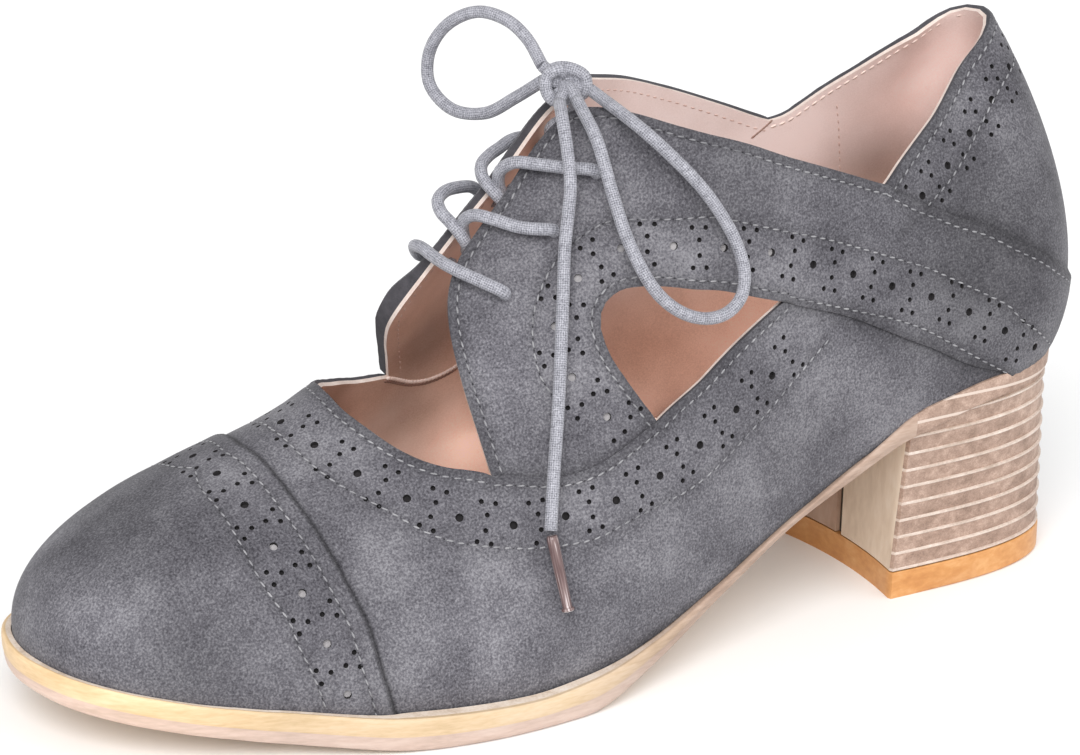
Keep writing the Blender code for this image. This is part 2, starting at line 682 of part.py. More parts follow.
def build_heel():
    loops = []
    z = LIFT_TOP + GAP
    rung = []
    while z < 50.0:
        rung += [(z + 0.0, 0.0), (z + 0.55, 0.0), (z + 0.95, LAYER_PROUD), (z + LAYER - 0.4, LAYER_PROUD)]
        z += LAYER
    rung[0] = (LIFT_TOP + GAP, 0.0)
    for z, inset in rung:
        loops.append([(x, y, z) for x, y in heel_ring(z, inset)])
    n = len(loops[0])
    block = stack_loops("heel_stack", "heel_stack", loops, [list(range(n))])
    seat = np.linspace(-140.0, -40.0, 41)
    verts = []
    for y in (-60.0, 60.0):
        verts += [(x, y, sole_under(x) - GAP) for x in seat]
        verts += [(seat[-1], y, 90.0), (seat[0], y, 90.0)]
    m = len(seat) + 2
    faces = [list(range(m)), list(range(2 * m - 1, m - 1, -1))]
    faces += [(i, (i + 1) % m, m + (i + 1) % m, m + i) for i in range(m)]
    cutter = solid("seat_cut", "heel_stack", verts, faces)
    cut = block.modifiers.new("seat", "BOOLEAN")
    cut.operation = "DIFFERENCE"
    cut.solver = "EXACT"
    cut.object = cutter
    bake(block)
    bpy.data.objects.remove(cutter, do_unlink=True)
    return block


def bake(obj):
    graph = bpy.context.evaluated_depsgraph_get()
    mesh = bpy.data.meshes.new_from_object(obj.evaluated_get(graph))
    obj.modifiers.clear()
    obj.data = mesh


def build_lift():
    loops = []
    for z, inset in ((0.0, 0.5), (0.5, -0.1), (LIFT_TOP - 0.4, -0.1), (LIFT_TOP, 0.2)):
        loops.append([(x, y, z) for x, y in heel_ring(z, inset)])
    return stack_loops("top_lift", "top_lift", loops, [list(range(len(loops[0])))])


def cord(name, points, key="lace", radius=LACE_RADIUS):
    curve = bpy.data.curves.new(name, "CURVE")
    curve.dimensions = "3D"
    curve.bevel_depth = radius * MM
    curve.bevel_resolution = 2
    curve.use_fill_caps = True
    run = curve.splines.new("POLY")
    run.points.add(len(points) - 1)
    for k, p in enumerate(points):
        run.points[k].co = (p[0] * MM, p[1] * MM, p[2] * MM, 1.0)
    obj = bpy.data.objects.new(name, curve)
    bpy.context.scene.collection.objects.link(obj)
    paint(obj, key, name + "_finish")
    return obj


def as_mesh(obj):
    graph = bpy.context.evaluated_depsgraph_get()
    name = obj.name
    mesh = bpy.data.meshes.new_from_object(obj.evaluated_get(graph))
    mats = list(obj.data.materials)
    bpy.data.objects.remove(obj, do_unlink=True)
    bm = bmesh.new()
    bm.from_mesh(mesh)
    bmesh.ops.remove_doubles(bm, verts=bm.verts[:], dist=1e-7)
    bmesh.ops.recalc_face_normals(bm, faces=bm.faces[:])
    bm.to_mesh(mesh)
    bm.free()
    made = bpy.data.objects.new(name, mesh)
    bpy.context.scene.collection.objects.link(made)
    mesh.materials.clear()
    for mat in mats:
        mesh.materials.append(mat)
    return made


def build_lacing():
    bar = [off_last(1, *row) for row in BAR_NEAR]
    bar += [np.array(row) for row in BAR_OVER]
    bar += [off_last(-1, *row) for row in BAR_FAR]
    cord("lace_bar", spline(bar, 3.4))
    for k in range(2):
        strands = []
        for side, start, dive in ((1, NEAR_CROSS[k], NEAR_DIVE[k]), (-1, FAR_CROSS[k], FAR_DIVE[k])):
            path = [off_last(side, *row) for row in start] + [np.array(row) for row in dive]
            strands.append(as_mesh(cord("lace_cross_" + str(k + 1), spline(path, 2.8))))
        join = strands[0].modifiers.new("join", "BOOLEAN")
        join.operation = "UNION"
        join.solver = "EXACT"
        join.object = strands[1]
        bake(strands[0])
        bpy.data.objects.remove(strands[1], do_unlink=True)
        strands[0].name = "lace_cross_" + str(k + 1)


def build_knot():
    bm = bmesh.new()
    bmesh.ops.create_icosphere(bm, subdivisions=2, radius=1.0)
    for v in bm.verts:
        v.co = [(KNOT_CENTRE[k] + KNOT_RADII[k] * v.co[k]) * MM for k in range(3)]
    mesh = bpy.data.meshes.new("lace_knot")
    bm.to_mesh(mesh)
    bm.free()
    obj = bpy.data.objects.new("lace_knot", mesh)
    bpy.context.scene.collection.objects.link(obj)
    paint(obj, "lace", "lace_knot_finish")


def knot_way(name):
    way = np.array(KNOT_WAYS[name])
    way = way / np.linalg.norm(way)
    skin = 1.0 / np.linalg.norm(way / np.array(KNOT_RADII))
    return np.array(KNOT_CENTRE) + way * (skin + GAP + 0.35)


def build_bow():
    far = [knot_way("loop_far_a")] + [np.array(row) for row in FAR_LOOP] + [knot_way("loop_far_b")]
    cord("lace_loop_far", spline(far, 4.4))
    near = [knot_way("loop_near_a")] + [off_last(1, *row) for row in NEAR_LOOP] + [knot_way("loop_near_b")]
    cord("lace_loop_near", spline(near, 4.6))
    for side, word, route, ends in ((1, "near", NEAR_END, NEAR_AGLET), (-1, "far", FAR_END, FAR_AGLET)):
        path = [knot_way("end_" + word)] + [off_last(side, *row) for row in route]
        cord("lace_end_" + word, spline(path, 4.6))
        tip = [off_last(side, *row) for row in ends]
        start = tip[0] + (tip[1] - tip[0]) / np.linalg.norm(tip[1] - tip[0]) * 0.5
        cord("aglet_" + word, [start, tip[1]], "aglet", 1.25)


build_outsole()
build_insole()
build_upper()
build_heel()
build_lift()
build_lacing()
build_knot()
build_bow()

# Origin under the middle of the shoe without its loose lace
bpy.context.view_layer.update()
low = np.full(3, 1e9)
high = np.full(3, -1e9)
for obj in bpy.data.objects:
    if obj.name.startswith(("lace_", "aglet_")):
        continue
    for v in obj.data.vertices:
        low = np.minimum(low, v.co)
        high = np.maximum(high, v.co)
shift = np.array((-(low[0] + high[0]) / 2, -(low[1] + high[1]) / 2, -low[2]))
for obj in bpy.data.objects:
    if obj.type == "CURVE":
        for point in obj.data.splines[0].points:
            point.co = (point.co[0] + shift[0], point.co[1] + shift[1], point.co[2] + shift[2], 1.0)
    else:
        for v in obj.data.vertices:
            v.co = (v.co[0] + shift[0], v.co[1] + shift[1], v.co[2] + shift[2])
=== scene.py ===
import math

import bmesh
import bpy
import numpy as np
from mathutils import Matrix, Vector
from mathutils.geometry import delaunay_2d_cdt
from mathutils.kdtree import KDTree


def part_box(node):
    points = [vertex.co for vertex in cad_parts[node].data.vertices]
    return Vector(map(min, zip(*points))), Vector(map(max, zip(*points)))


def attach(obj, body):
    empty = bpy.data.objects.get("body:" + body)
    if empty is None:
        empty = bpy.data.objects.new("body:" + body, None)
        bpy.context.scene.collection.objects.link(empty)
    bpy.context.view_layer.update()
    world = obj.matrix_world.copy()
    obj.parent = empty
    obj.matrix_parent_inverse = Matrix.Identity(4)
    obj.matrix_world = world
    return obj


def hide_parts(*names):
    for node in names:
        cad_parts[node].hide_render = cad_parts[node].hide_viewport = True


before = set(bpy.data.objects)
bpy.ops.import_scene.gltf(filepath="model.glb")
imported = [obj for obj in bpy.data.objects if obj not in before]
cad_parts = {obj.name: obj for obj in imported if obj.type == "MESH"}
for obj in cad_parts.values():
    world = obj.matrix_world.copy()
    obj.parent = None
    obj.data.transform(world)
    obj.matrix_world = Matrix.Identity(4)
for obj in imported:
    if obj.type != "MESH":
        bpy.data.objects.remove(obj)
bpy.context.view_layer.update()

# Shoe measures are millimetres: x to the toe, y to the wearer's left, z up; the row frame is the same, shifted
mm = 0.001
liftBack = 110.7  # the top lift's back edge, behind the zero station
liftLow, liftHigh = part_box("top_lift")
shoeShift = np.array((liftLow.x / mm + liftBack, (liftLow.y + liftHigh.y) / 2 / mm, 0.0))


def toRow(points):
    return (np.asarray(points, float) + shoeShift) * mm


# Camera at the photo's angle
photoView = {
    "place": (406.64, 696.37, 336.01),
    "target": (14.53, 12.84, 57.51),
    "lens": 143.71,
    "roll": 0.81,
}


def addCamera():
    eye = Vector(toRow(photoView["place"]))
    look = (Vector(toRow(photoView["target"])) - eye).normalized()
    right = look.cross(Vector((0.0, 0.0, 1.0))).normalized()
    up = right.cross(look)
    c, s = math.cos(math.radians(photoView["roll"])), math.sin(math.radians(photoView["roll"]))
    data = bpy.data.cameras.new("photoCamera")
    data.lens = photoView["lens"]
    data.sensor_width = 36.0
    data.sensor_fit = "HORIZONTAL"
    data.clip_start = 0.01
    data.clip_end = 50.0
    cam = bpy.data.objects.new("photoCamera", data)
    bpy.context.scene.collection.objects.link(cam)
    turn = Matrix((right * c + up * s, up * c - right * s, -look)).transposed()
    cam.matrix_world = Matrix.Translation(eye) @ turn.to_4x4()
    bpy.context.scene.camera = cam


addCamera()
print("camera placed")

# The last: feather edge plan, toe and heel reach by angle, and one cubic section per station
toePole, heelPole = 82.0, -86.0
toeRun, heelRun = 36.0, 30.0
toeTip, heelBack = toePole + toeRun, heelPole - heelRun
toeSlope = 0.40
sides = (1, -1)  # lateral and medial
planRows = (
    (-86.0, 26.6, 26.6), (-62.0, 27.8, 26.9), (-35.0, 31.0, 26.5), (-10.0, 36.5, 29.0),
    (15.0, 42.0, 35.5), (38.0, 43.8, 40.0), (60.0, 41.3, 40.2), (82.0, 33.8, 34.2),
)
toeRows = (
    (0.0, 35.0, 35.0), (20.0, 34.7, 34.7), (40.0, 33.3, 33.5),
    (58.0, 32.0, 32.5), (74.0, 31.9, 32.5), (90.0, 33.8, 34.2),
)
heelRows = ((0.0, 22.3, 22.3), (30.0, 23.1, 23.1), (60.0, 25.0, 25.0), (90.0, 26.6, 26.6))
# station, feather z, wall out, wall z, shoulder half width, shoulder z, top half width, top z
sectionRows = (
    (-118.0, 48.0, 18.0, 62.0, 23.0, 98.0, 8.5, 121.0),
    (-86.0, 45.0, 5.0, 65.0, 20.0, 96.0, 6.0, 116.0),
    (-72.0, 41.0, 4.0, 62.0, 23.0, 90.0, 12.5, 110.0),
    (-58.0, 37.5, 4.0, 58.0, 25.0, 85.0, 18.0, 108.0),
    (-35.0, 27.5, 3.5, 50.0, 28.0, 85.0, 21.0, 114.0),
    (-12.0, 17.0, 3.0, 42.0, 30.0, 88.0, 14.0, 118.0),
    (4.0, 11.0, 3.0, 38.0, 24.0, 98.0, 2.0, 112.0),
    (20.0, 7.2, 2.0, 34.0, 14.0, 92.0, 0.0, 96.0),
    (34.0, 5.8, 1.5, 30.0, 9.0, 80.0, 0.0, 82.0),
    (46.0, 5.9, 1.5, 29.0, 11.0, 65.5, 0.0, 67.5),
    (58.0, 6.2, 2.0, 30.0, 13.0, 55.6, 0.0, 56.0),
    (82.0, 8.5, 2.5, 28.0, 19.0, 45.4, 0.0, 45.5),
    (118.0, 14.5, 2.5, 30.0, 19.0, 31.5, 0.0, 31.5),
)
# The far side leans in over the instep: share by station, then how far shoulder, top and top height give way
leanRows = ((-30.0, 0.0), (-12.0, 0.3), (4.0, 1.0), (32.0, 1.0), (44.0, 0.6), (55.0, 0.0))
lean = {"shoulder": 5.2, "top": 1.95, "drop": 1.2}


def tableCurve(rows, column):  # a curve through the rows that never overshoots them
    xs = np.array([row[0] for row in rows], float)
    ys = np.array([row[column] for row in rows], float)
    run = np.diff(xs)
    grade = np.diff(ys) / run
    slope = np.zeros_like(ys)
    slope[0], slope[-1] = grade[0], grade[-1]
    for i in range(1, len(xs) - 1):
        if grade[i - 1] * grade[i] > 0.0:
            a, b = 2.0 * run[i] + run[i - 1], run[i] + 2.0 * run[i - 1]
            slope[i] = (a + b) / (a / grade[i - 1] + b / grade[i])

    def read(x):
        x = np.clip(x, xs[0], xs[-1])
        k = np.clip(np.searchsorted(xs, x) - 1, 0, len(xs) - 2)
        t = (x - xs[k]) / run[k]
        low = ys[k] * (1 + 2 * t) * (1 - t) ** 2 + slope[k] * run[k] * t * (1 - t) ** 2
        high = ys[k + 1] * t * t * (3 - 2 * t) + slope[k + 1] * run[k] * t * t * (t - 1)
        return low + high

    return read


bothSides = lambda rows: {1: tableCurve(rows, 1), -1: tableCurve(rows, 2)}
planAt, toeAt, heelAt = bothSides(planRows), bothSides(toeRows), bothSides(heelRows)
sectionCurves = [tableCurve(sectionRows, k) for k in range(1, 8)]
featherAt, outAt, wallAt, shoulderAt, shoulderZAt, topAt, topZAt = sectionCurves
leanAt = tableCurve(leanRows, 1)


def heading(side, station):  # origin on the long axis, direction outward, and the angles round toe and heel
    toeAngle = 90.0 - np.clip((station - toePole) / toeRun, 0.0, 1.0) * 90.0
    heelAngle = 90.0 - np.clip((heelPole - station) / heelRun, 0.0, 1.0) * 90.0
    toeTurn, heelTurn = np.radians(toeAngle), np.radians(heelAngle)
    onToe, onHeel = station > toePole, station < heelPole
    dx = np.where(onToe, np.cos(toeTurn), np.where(onHeel, -np.cos(heelTurn), 0.0))
    dy = np.where(onToe, np.sin(toeTurn), np.where(onHeel, np.sin(heelTurn), 1.0)) * side
    return np.clip(station, heelPole, toePole), dx, dy, toeAngle, heelAngle


def reach(side, station):  # origin, direction outward and half width of the feather edge
    origin, dx, dy, toeAngle, heelAngle = heading(side, station)
    widths = []
    for k in sides:
        width = np.where(station < heelPole, heelAt[k](heelAngle), planAt[k](station))
        widths.append(np.where(station > toePole, toeAt[k](toeAngle), width))
    return origin, dx, dy, np.where(side > 0, *widths)


def lastPoint(side, station, level):
    side, station, level = [np.asarray(v, float) for v in np.broadcast_arrays(side, station, level)]
    origin, dx, dy, width = reach(side, station)
    x = origin + dx * width
    onToe = station > toePole
    shoulder = shoulderAt(x)
    shoulderZ = np.where(onToe, shoulderZAt(toePole) - toeSlope * shoulder * dx, shoulderZAt(x))
    topZ = np.where(onToe, topZAt(toePole), topZAt(x))
    a, b = (1.0 - level) ** 3, 3.0 * level * (1.0 - level) ** 2
    c, d = 3.0 * level * level * (1.0 - level), level ** 3
    give = np.where(side < 0, leanAt(x), 0.0)
    h = a * width + b * (width + outAt(x)) + c * shoulder + d * topAt(x)
    h = h - give * (c * lean["shoulder"] + d * lean["top"])
    z = a * featherAt(x) + b * wallAt(x) + c * shoulderZ + d * (topZ - give * lean["drop"])
    return np.stack((origin + dx * h, dy * h, z), axis=-1)


# The skin of the last laid flat: the feather edge is the rim, the ridge the middle line
planeHalf = 60.0
slopeStep, rimRoom = 0.04, 0.06  # how far apart slopes are read, and how far inside the rim


def toPlane(side, station, level):
    side, station, level = [np.asarray(v, float) for v in np.broadcast_arrays(side, station, level)]
    origin, dx, dy, _, _ = heading(side, station)
    r = (1.0 - level) * planeHalf
    return np.stack((origin + r * dx, r * dy), axis=-1)


def fromPlane(p):
    p = np.asarray(p, float)
    x, y = p[..., 0], p[..., 1]
    side = np.where(y >= 0.0, 1.0, -1.0)
    pole = np.clip(x, heelPole, toePole)
    angle = np.degrees(np.arctan2(np.abs(y), np.abs(x - pole) + 1e-12))
    station = np.where(x > toePole, toePole + (90.0 - angle) / 90.0 * toeRun, x)
    station = np.where(x < heelPole, heelPole - (90.0 - angle) / 90.0 * heelRun, station)
    return side, station, np.clip(1.0 - np.hypot(x - pole, y) / planeHalf, 0.0, 1.0)


def skinBase(p):
    return lastPoint(*fromPlane(p))


def skinSlopes(p):
    p = np.asarray(p, float)
    pole = np.stack((np.clip(p[..., 0], heelPole, toePole), 0.0 * p[..., 1]), axis=-1)
    r = np.linalg.norm(p - pole, axis=-1, keepdims=True)
    p = pole + (p - pole) * np.minimum(1.0, (planeHalf - rimRoom) / np.maximum(r, 1e-9))
    return [(skinBase(p + d) - skinBase(p - d)) / (2.0 * slopeStep) for d in slopeStep * np.eye(2)]


def skinNormal(p):
    sx, sy = skinSlopes(p)
    n = np.cross(sx, sy)
    return n / np.linalg.norm(n, axis=-1, keepdims=True)


def skin(p, lift):
    p = np.asarray(p, float)
    return skinBase(p) + skinNormal(p) * np.asarray(lift, float)[..., None]


def offLast(side, station, level, lift):
    return skin(toPlane(side, station, level), lift)


def spline(points, step):  # a smooth line through the points, read at even steps with both ends kept
    pts = [np.array(p, float) for p in points]
    pts = [2 * pts[0] - pts[1]] + pts + [2 * pts[-1] - pts[-2]]
    fine = []
    for i in range(1, len(pts) - 2):
        p0, p1, p2, p3 = pts[i - 1:i + 3]
        t1 = np.linalg.norm(p1 - p0) ** 0.5
        t2 = t1 + np.linalg.norm(p2 - p1) ** 0.5
        t3 = t2 + np.linalg.norm(p3 - p2) ** 0.5
        for t in np.linspace(t1, t2, 24, endpoint=False):
            a1 = (t1 - t) / t1 * p0 + t / t1 * p1
            a2 = (t2 - t) / (t2 - t1) * p1 + (t - t1) / (t2 - t1) * p2
            a3 = (t3 - t) / (t3 - t2) * p2 + (t - t2) / (t3 - t2) * p3
            b1 = (t2 - t) / t2 * a1 + t / t2 * a2
            b2 = (t3 - t) / (t3 - t1) * a2 + (t - t1) / (t3 - t1) * a3
            fine.append((t2 - t) / (t2 - t1) * b1 + (t - t1) / (t2 - t1) * b2)
    fine.append(pts[-2])
    return evenly(np.array(fine), step)


def lengths(line):  # how far along the line each of its points is
    return np.concatenate(((0.0,), np.cumsum(np.linalg.norm(np.diff(line, axis=0), axis=1))))


def evenly(fine, step):
    run = lengths(fine)
    count = max(2, int(math.ceil(run[-1] / step)) + 1)
    at = np.linspace(0.0, run[-1], count)
    return np.stack([np.interp(at, run, fine[:, k]) for k in range(fine.shape[1])], axis=1)


# Materials: small helpers, then the effects that several finishes share
socketNames = {
    "roughness": "Roughness", "specular": "Specular IOR Level", "coatWeight": "Coat Weight",
    "sheenWeight": "Sheen Weight", "sheenRoughness": "Sheen Roughness",
}


def newFinish(name, **sockets):
    mat = bpy.data.materials.new(name)
    mat.use_nodes = True
    bsdf = mat.node_tree.nodes["Principled BSDF"]
    for key, value in sockets.items():
        bsdf.inputs[socketNames[key]].default_value = value
    return mat, mat.node_tree, bsdf


def addNode(tree, kind, values=None, **settings):
    node = tree.nodes.new(kind)
    for key, value in settings.items():
        setattr(node, key, value)
    for key, value in (values or {}).items():
        node.inputs[key].default_value = value
    return node


def addRamp(tree, source, stops):
    ramp = addNode(tree, "ShaderNodeValToRGB")
    while len(ramp.color_ramp.elements) < len(stops):
        ramp.color_ramp.elements.new(0.5)
    for element, (place, colour) in zip(ramp.color_ramp.elements, stops):
        element.position = place
        element.color = (*colour, 1.0)
    tree.links.new(source, ramp.inputs["Fac"])
    return ramp.outputs["Color"]


def addMath(tree, operation, a, b):
    node = addNode(tree, "ShaderNodeMath", operation=operation)
    for socket, value in zip(node.inputs, (a, b)):
        if isinstance(value, (int, float)):
            socket.default_value = value
        else:
            tree.links.new(value, socket)
    return node.outputs[0]


def weighted(tree, *parts):  # sum of sockets, each times its own share
    total = 0.0
    for socket, share in parts:
        total = addMath(tree, "ADD", total, addMath(tree, "MULTIPLY", socket, share))
    return total


def addMix(tree, share, a, b, blend="MIX"):
    node = addNode(tree, "ShaderNodeMix", data_type="RGBA", blend_type=blend)
    for socket, value in ((node.inputs[0], share), (node.inputs[6], a), (node.inputs[7], b)):
        if isinstance(value, tuple):
            socket.default_value = (*value, 1.0)
        elif isinstance(value, (int, float)):
            socket.default_value = value
        else:
            tree.links.new(value, socket)
    return node.outputs[2]


def addBump(tree, bsdf, height, strength, distance):
    bump = addNode(tree, "ShaderNodeBump", {"Strength": strength, "Distance": distance})
    tree.links.new(height, bump.inputs["Height"])
    tree.links.new(bump.outputs["Normal"], bsdf.inputs["Normal"])


def objectCoords(tree):
    return addNode(tree, "ShaderNodeTexCoord").outputs["Object"]


def axesOf(tree, kind):  # X, Y and Z of the Object or UV coordinates
    split = addNode(tree, "ShaderNodeSeparateXYZ")
    tree.links.new(addNode(tree, "ShaderNodeTexCoord").outputs[kind], split.inputs[0])
    return split.outputs


def readAttribute(tree, name):
    return addNode(tree, "ShaderNodeAttribute", attribute_name=name).outputs["Fac"]


def makeGrainGroup():  # broad patches, medium blotches and fine grain, each about 0.5
    group = bpy.data.node_groups.new("layeredGrain", "ShaderNodeTree")
    face = group.interface
    face.new_socket("Vector", in_out="INPUT", socket_type="NodeSocketVector")
    for name, value in (("Patch Scale", 40.0), ("Blotch Scale", 260.0), ("Grain Scale", 2600.0)):
        face.new_socket(name, in_out="INPUT", socket_type="NodeSocketFloat").default_value = value
    for name in ("Patch", "Blotch", "Grain"):
        face.new_socket(name, in_out="OUTPUT", socket_type="NodeSocketFloat")
    enter = group.nodes.new("NodeGroupInput")
    leave = group.nodes.new("NodeGroupOutput")
    for name, detail, rough in (("Patch", 3.0, 0.55), ("Blotch", 4.0, 0.6), ("Grain", 2.0, 0.6)):
        noise = addNode(group, "ShaderNodeTexNoise", {"Detail": detail, "Roughness": rough})
        group.links.new(enter.outputs["Vector"], noise.inputs["Vector"])
        group.links.new(enter.outputs[name + " Scale"], noise.inputs["Scale"])
        group.links.new(noise.outputs["Fac"], leave.inputs[name])
    return group


grainGroup = makeGrainGroup()


def addGrain(tree, patch, blotch, grain, vector=None):
    node = addNode(tree, "ShaderNodeGroup", node_tree=grainGroup)
    for name, scale in (("Patch", patch), ("Blotch", blotch), ("Grain", grain)):
        node.inputs[name + " Scale"].default_value = scale
    tree.links.new(vector or objectCoords(tree), node.inputs["Vector"])
    return node.outputs["Patch"], node.outputs["Blotch"], node.outputs["Grain"]


def paintShading(tree, bsdf, colour):  # base colour times the painted shade and painted light kept in the mesh's shade attribute
    share = addMath(tree, "POWER", 2.0, addMath(tree, "MULTIPLY", readAttribute(tree, "shade"), -1.3))
    tree.links.new(addMix(tree, 1.0, colour, share, "MULTIPLY"), bsdf.inputs["Base Color"])


suedeLook = {"dark": (0.043, 0.041, 0.049), "mid": (0.120, 0.116, 0.131), "pale": (0.235, 0.230, 0.248)}


def suedeFinish():
    mat, tree, bsdf = newFinish("greyNubuck", roughness=0.92, sheenWeight=0.1, sheenRoughness=0.5, specular=0.2)
    patch, blotch, grain = addGrain(tree, 62.0, 320.0, 2300.0)
    tone = weighted(tree, (patch, 0.5), (blotch, 0.12), (grain, 0.78))
    stops = ((0.48, suedeLook["dark"]), (0.70, suedeLook["mid"]), (0.90, suedeLook["pale"]))
    paintShading(tree, bsdf, addRamp(tree, tone, stops))
    addBump(tree, bsdf, weighted(tree, (grain, 1.0), (blotch, 0.6)), 0.4, 0.0002)
    return mat


liningLook = {
    "shade": (0.52, 0.32, 0.24), "mid": (0.72, 0.49, 0.395), "pale": (0.85, 0.63, 0.54),
    "rear": ((0.66, 0.50, 0.455), (0.86, 0.715, 0.68)),
}


def liningFinish(name, shades):
    mat, tree, bsdf = newFinish(name, roughness=0.55, specular=0.35)
    patch, blotch, grain = addGrain(tree, 30.0, 420.0, 3000.0)
    tone = weighted(tree, (patch, 0.8), (grain, 0.2))
    colour = addRamp(tree, tone, ((0.36, shades["shade"]), (0.5, shades["mid"]), (0.66, shades["pale"])))
    back = addRamp(tree, tone, ((0.36, shades["rear"][0]), (0.64, shades["rear"][1])))  # paler towards the heel
    paintShading(tree, bsdf, addMix(tree, readAttribute(tree, "rear"), colour, back))
    addBump(tree, bsdf, weighted(tree, (blotch, 1.0), (grain, 0.5)), 0.2, 0.0001)
    return mat


def plainFinish(name, shades, roughness, scales=(60.0, 500.0, 3000.0)):
    mat, tree, bsdf = newFinish(name, roughness=roughness)
    patch, blotch, grain = addGrain(tree, *scales)
    tone = weighted(tree, (patch, 0.45), (blotch, 0.35), (grain, 0.2))
    tree.links.new(addRamp(tree, tone, ((0.36, shades[0]), (0.62, shades[1]))), bsdf.inputs["Base Color"])
    addBump(tree, bsdf, addMath(tree, "ADD", grain, blotch), 0.2, 0.0001)
    return mat


# Lace: a braided round cord; the braid is read from the cord's own UV, millimetres along and one turn around
laceShape = {"radius": 1.25, "sides": 5, "step": 1.1, "knotStep": 0.8, "braidPitch": 0.9, "braidTurns": 8.0}
laceLook = {"gap": (0.11, 0.11, 0.13), "yarn": (0.28, 0.28, 0.315), "crest": (0.50, 0.50, 0.55)}


def laceFinish():
    mat, tree, bsdf = newFinish("waxedBraid", roughness=0.6, specular=0.4, sheenWeight=0.15)
    uv = axesOf(tree, "UV")
    along = addMath(tree, "MULTIPLY", uv["X"], 2 * math.pi / laceShape["braidPitch"])
    around = addMath(tree, "MULTIPLY", uv["Y"], 2 * math.pi * laceShape["braidTurns"])
    rising = addMath(tree, "SINE", addMath(tree, "ADD", along, around), 0.0)
    falling = addMath(tree, "SINE", addMath(tree, "SUBTRACT", along, around), 0.0)
    braid = addMath(tree, "MULTIPLY", rising, falling)
    _, blotch, grain = addGrain(tree, 90.0, 700.0, 3200.0)
    # the braid term paints shade in the gaps between yarns and light on the crests; grain and blotch give the
    # heathered yarn
    tone = weighted(tree, (braid, 0.13), (grain, 0.7), (blotch, 0.35))
    colour = addRamp(tree, tone, ((0.32, laceLook["gap"]), (0.52, laceLook["yarn"]), (0.74, laceLook["crest"])))
    tree.links.new(colour, bsdf.inputs["Base Color"])
    addBump(tree, bsdf, weighted(tree, (braid, 0.4), (grain, 0.8)), 0.5, 0.0002)
    return mat


def linkObject(name, mesh, materials):
    obj = bpy.data.objects.new(name, mesh)
    bpy.context.scene.collection.objects.link(obj)
    for mat in materials:
        mesh.materials.append(mat)
    return obj


def cordMesh(name, lines, radius, tapers=None):
    # Each line becomes a round tube; UV runs in millimetres along it
    parts = bmesh.new()
    parts.loops.layers.uv.new("UVMap")
    for i, line in enumerate(lines):
        curve = bpy.data.curves.new(name, "CURVE")
        curve.dimensions = "3D"
        curve.bevel_depth = radius * mm
        curve.bevel_resolution = laceShape["sides"]
        curve.use_fill_caps = True
        run = curve.splines.new("POLY")
        run.points.add(len(line) - 1)
        for k, p in enumerate(toRow(line)):
            run.points[k].co = (*p, 1.0)
            run.points[k].radius = 1.0 if tapers is None else tapers[i][k]
        holder = bpy.data.objects.new(name, curve)
        bpy.context.scene.collection.objects.link(holder)
        graph = bpy.context.evaluated_depsgraph_get()
        tube = bpy.data.meshes.new_from_object(holder.evaluated_get(graph))
        length = lengths(line)[-1]
        for spot in tube.uv_layers[0].data:
            spot.uv = (spot.uv[0] * length, spot.uv[1])
        parts.from_mesh(tube)
        bpy.data.objects.remove(holder, do_unlink=True)
        bpy.data.meshes.remove(tube)
        bpy.data.curves.remove(curve)
    bmesh.ops.remove_doubles(parts, verts=parts.verts[:], dist=1e-7)
    bmesh.ops.recalc_face_normals(parts, faces=parts.faces[:])
    for face in parts.faces:
        face.smooth = len(face.verts) == 4
    mesh = bpy.data.meshes.new(name)
    parts.to_mesh(mesh)
    parts.free()
    return mesh


# Lace routes: station, share of the way up and lift off the last; points over the gap in millimetres
eyelets = ((24.0, 0.694), (13.5, 0.738), (4.0, 0.794))
barNear = ((24.0, 0.694, 1.0), (27.0, 0.7425, 1.9), (30.5, 0.8175, 2.2))
barOver = ((32.6, 3.5, 81.8), (32.9, -1.5, 82.5), (32.4, -5.5, 81.7))
barFar = ((28.0, 0.745, 2.2), (24.0, 0.694, 1.0))
nearCross = (
    ((13.5, 0.738, 1.0), (16.0, 0.757, 1.8), (18.5, 0.782, 2.1), (22.2, 0.842, 2.2)),
    ((4.0, 0.794, 1.0), (6.0, 0.805, 1.8), (8.0, 0.8175, 2.0), (12.7, 0.870, 2.1)),
)
nearDive = (
    ((25.3, 5.6, 90.0), (26.0, 2.6, 88.2), (25.3, 0.9, 85.3), (23.8, 0.0, 81.8)),
    ((16.6, 5.8, 99.4), (18.0, 2.8, 97.4), (17.7, 1.1, 94.5), (16.1, 0.2, 91.0)),
)
farCross = (((13.5, 0.738, 1.0),), ((4.0, 0.794, 1.0),))
farDive = (
    ((17.1, -10.5, 90.1), (21.3, -8.4, 91.2), (25.5, -6.2, 91.5), (28.2, -4.0, 90.6), (28.6, -1.9, 89.0),
     (27.9, 0.4, 87.6), (26.9, 2.3, 85.8), (25.4, 3.2, 83.2), (23.2, 4.4, 80.3)),
    ((8.6, -10.2, 98.6), (12.6, -8.0, 98.0), (16.1, -5.7, 97.6), (18.8, -3.7, 96.6), (19.8, -1.6, 95.1),
     (19.6, 0.4, 93.8), (18.9, 2.2, 92.5), (17.3, 3.3, 90.4), (15.2, 4.7, 88.2)),
)
knotShape = {"centre": (4.2, 2.3, 112.8), "radii": (4.4, 5.8, 4.2), "gap": 0.65}
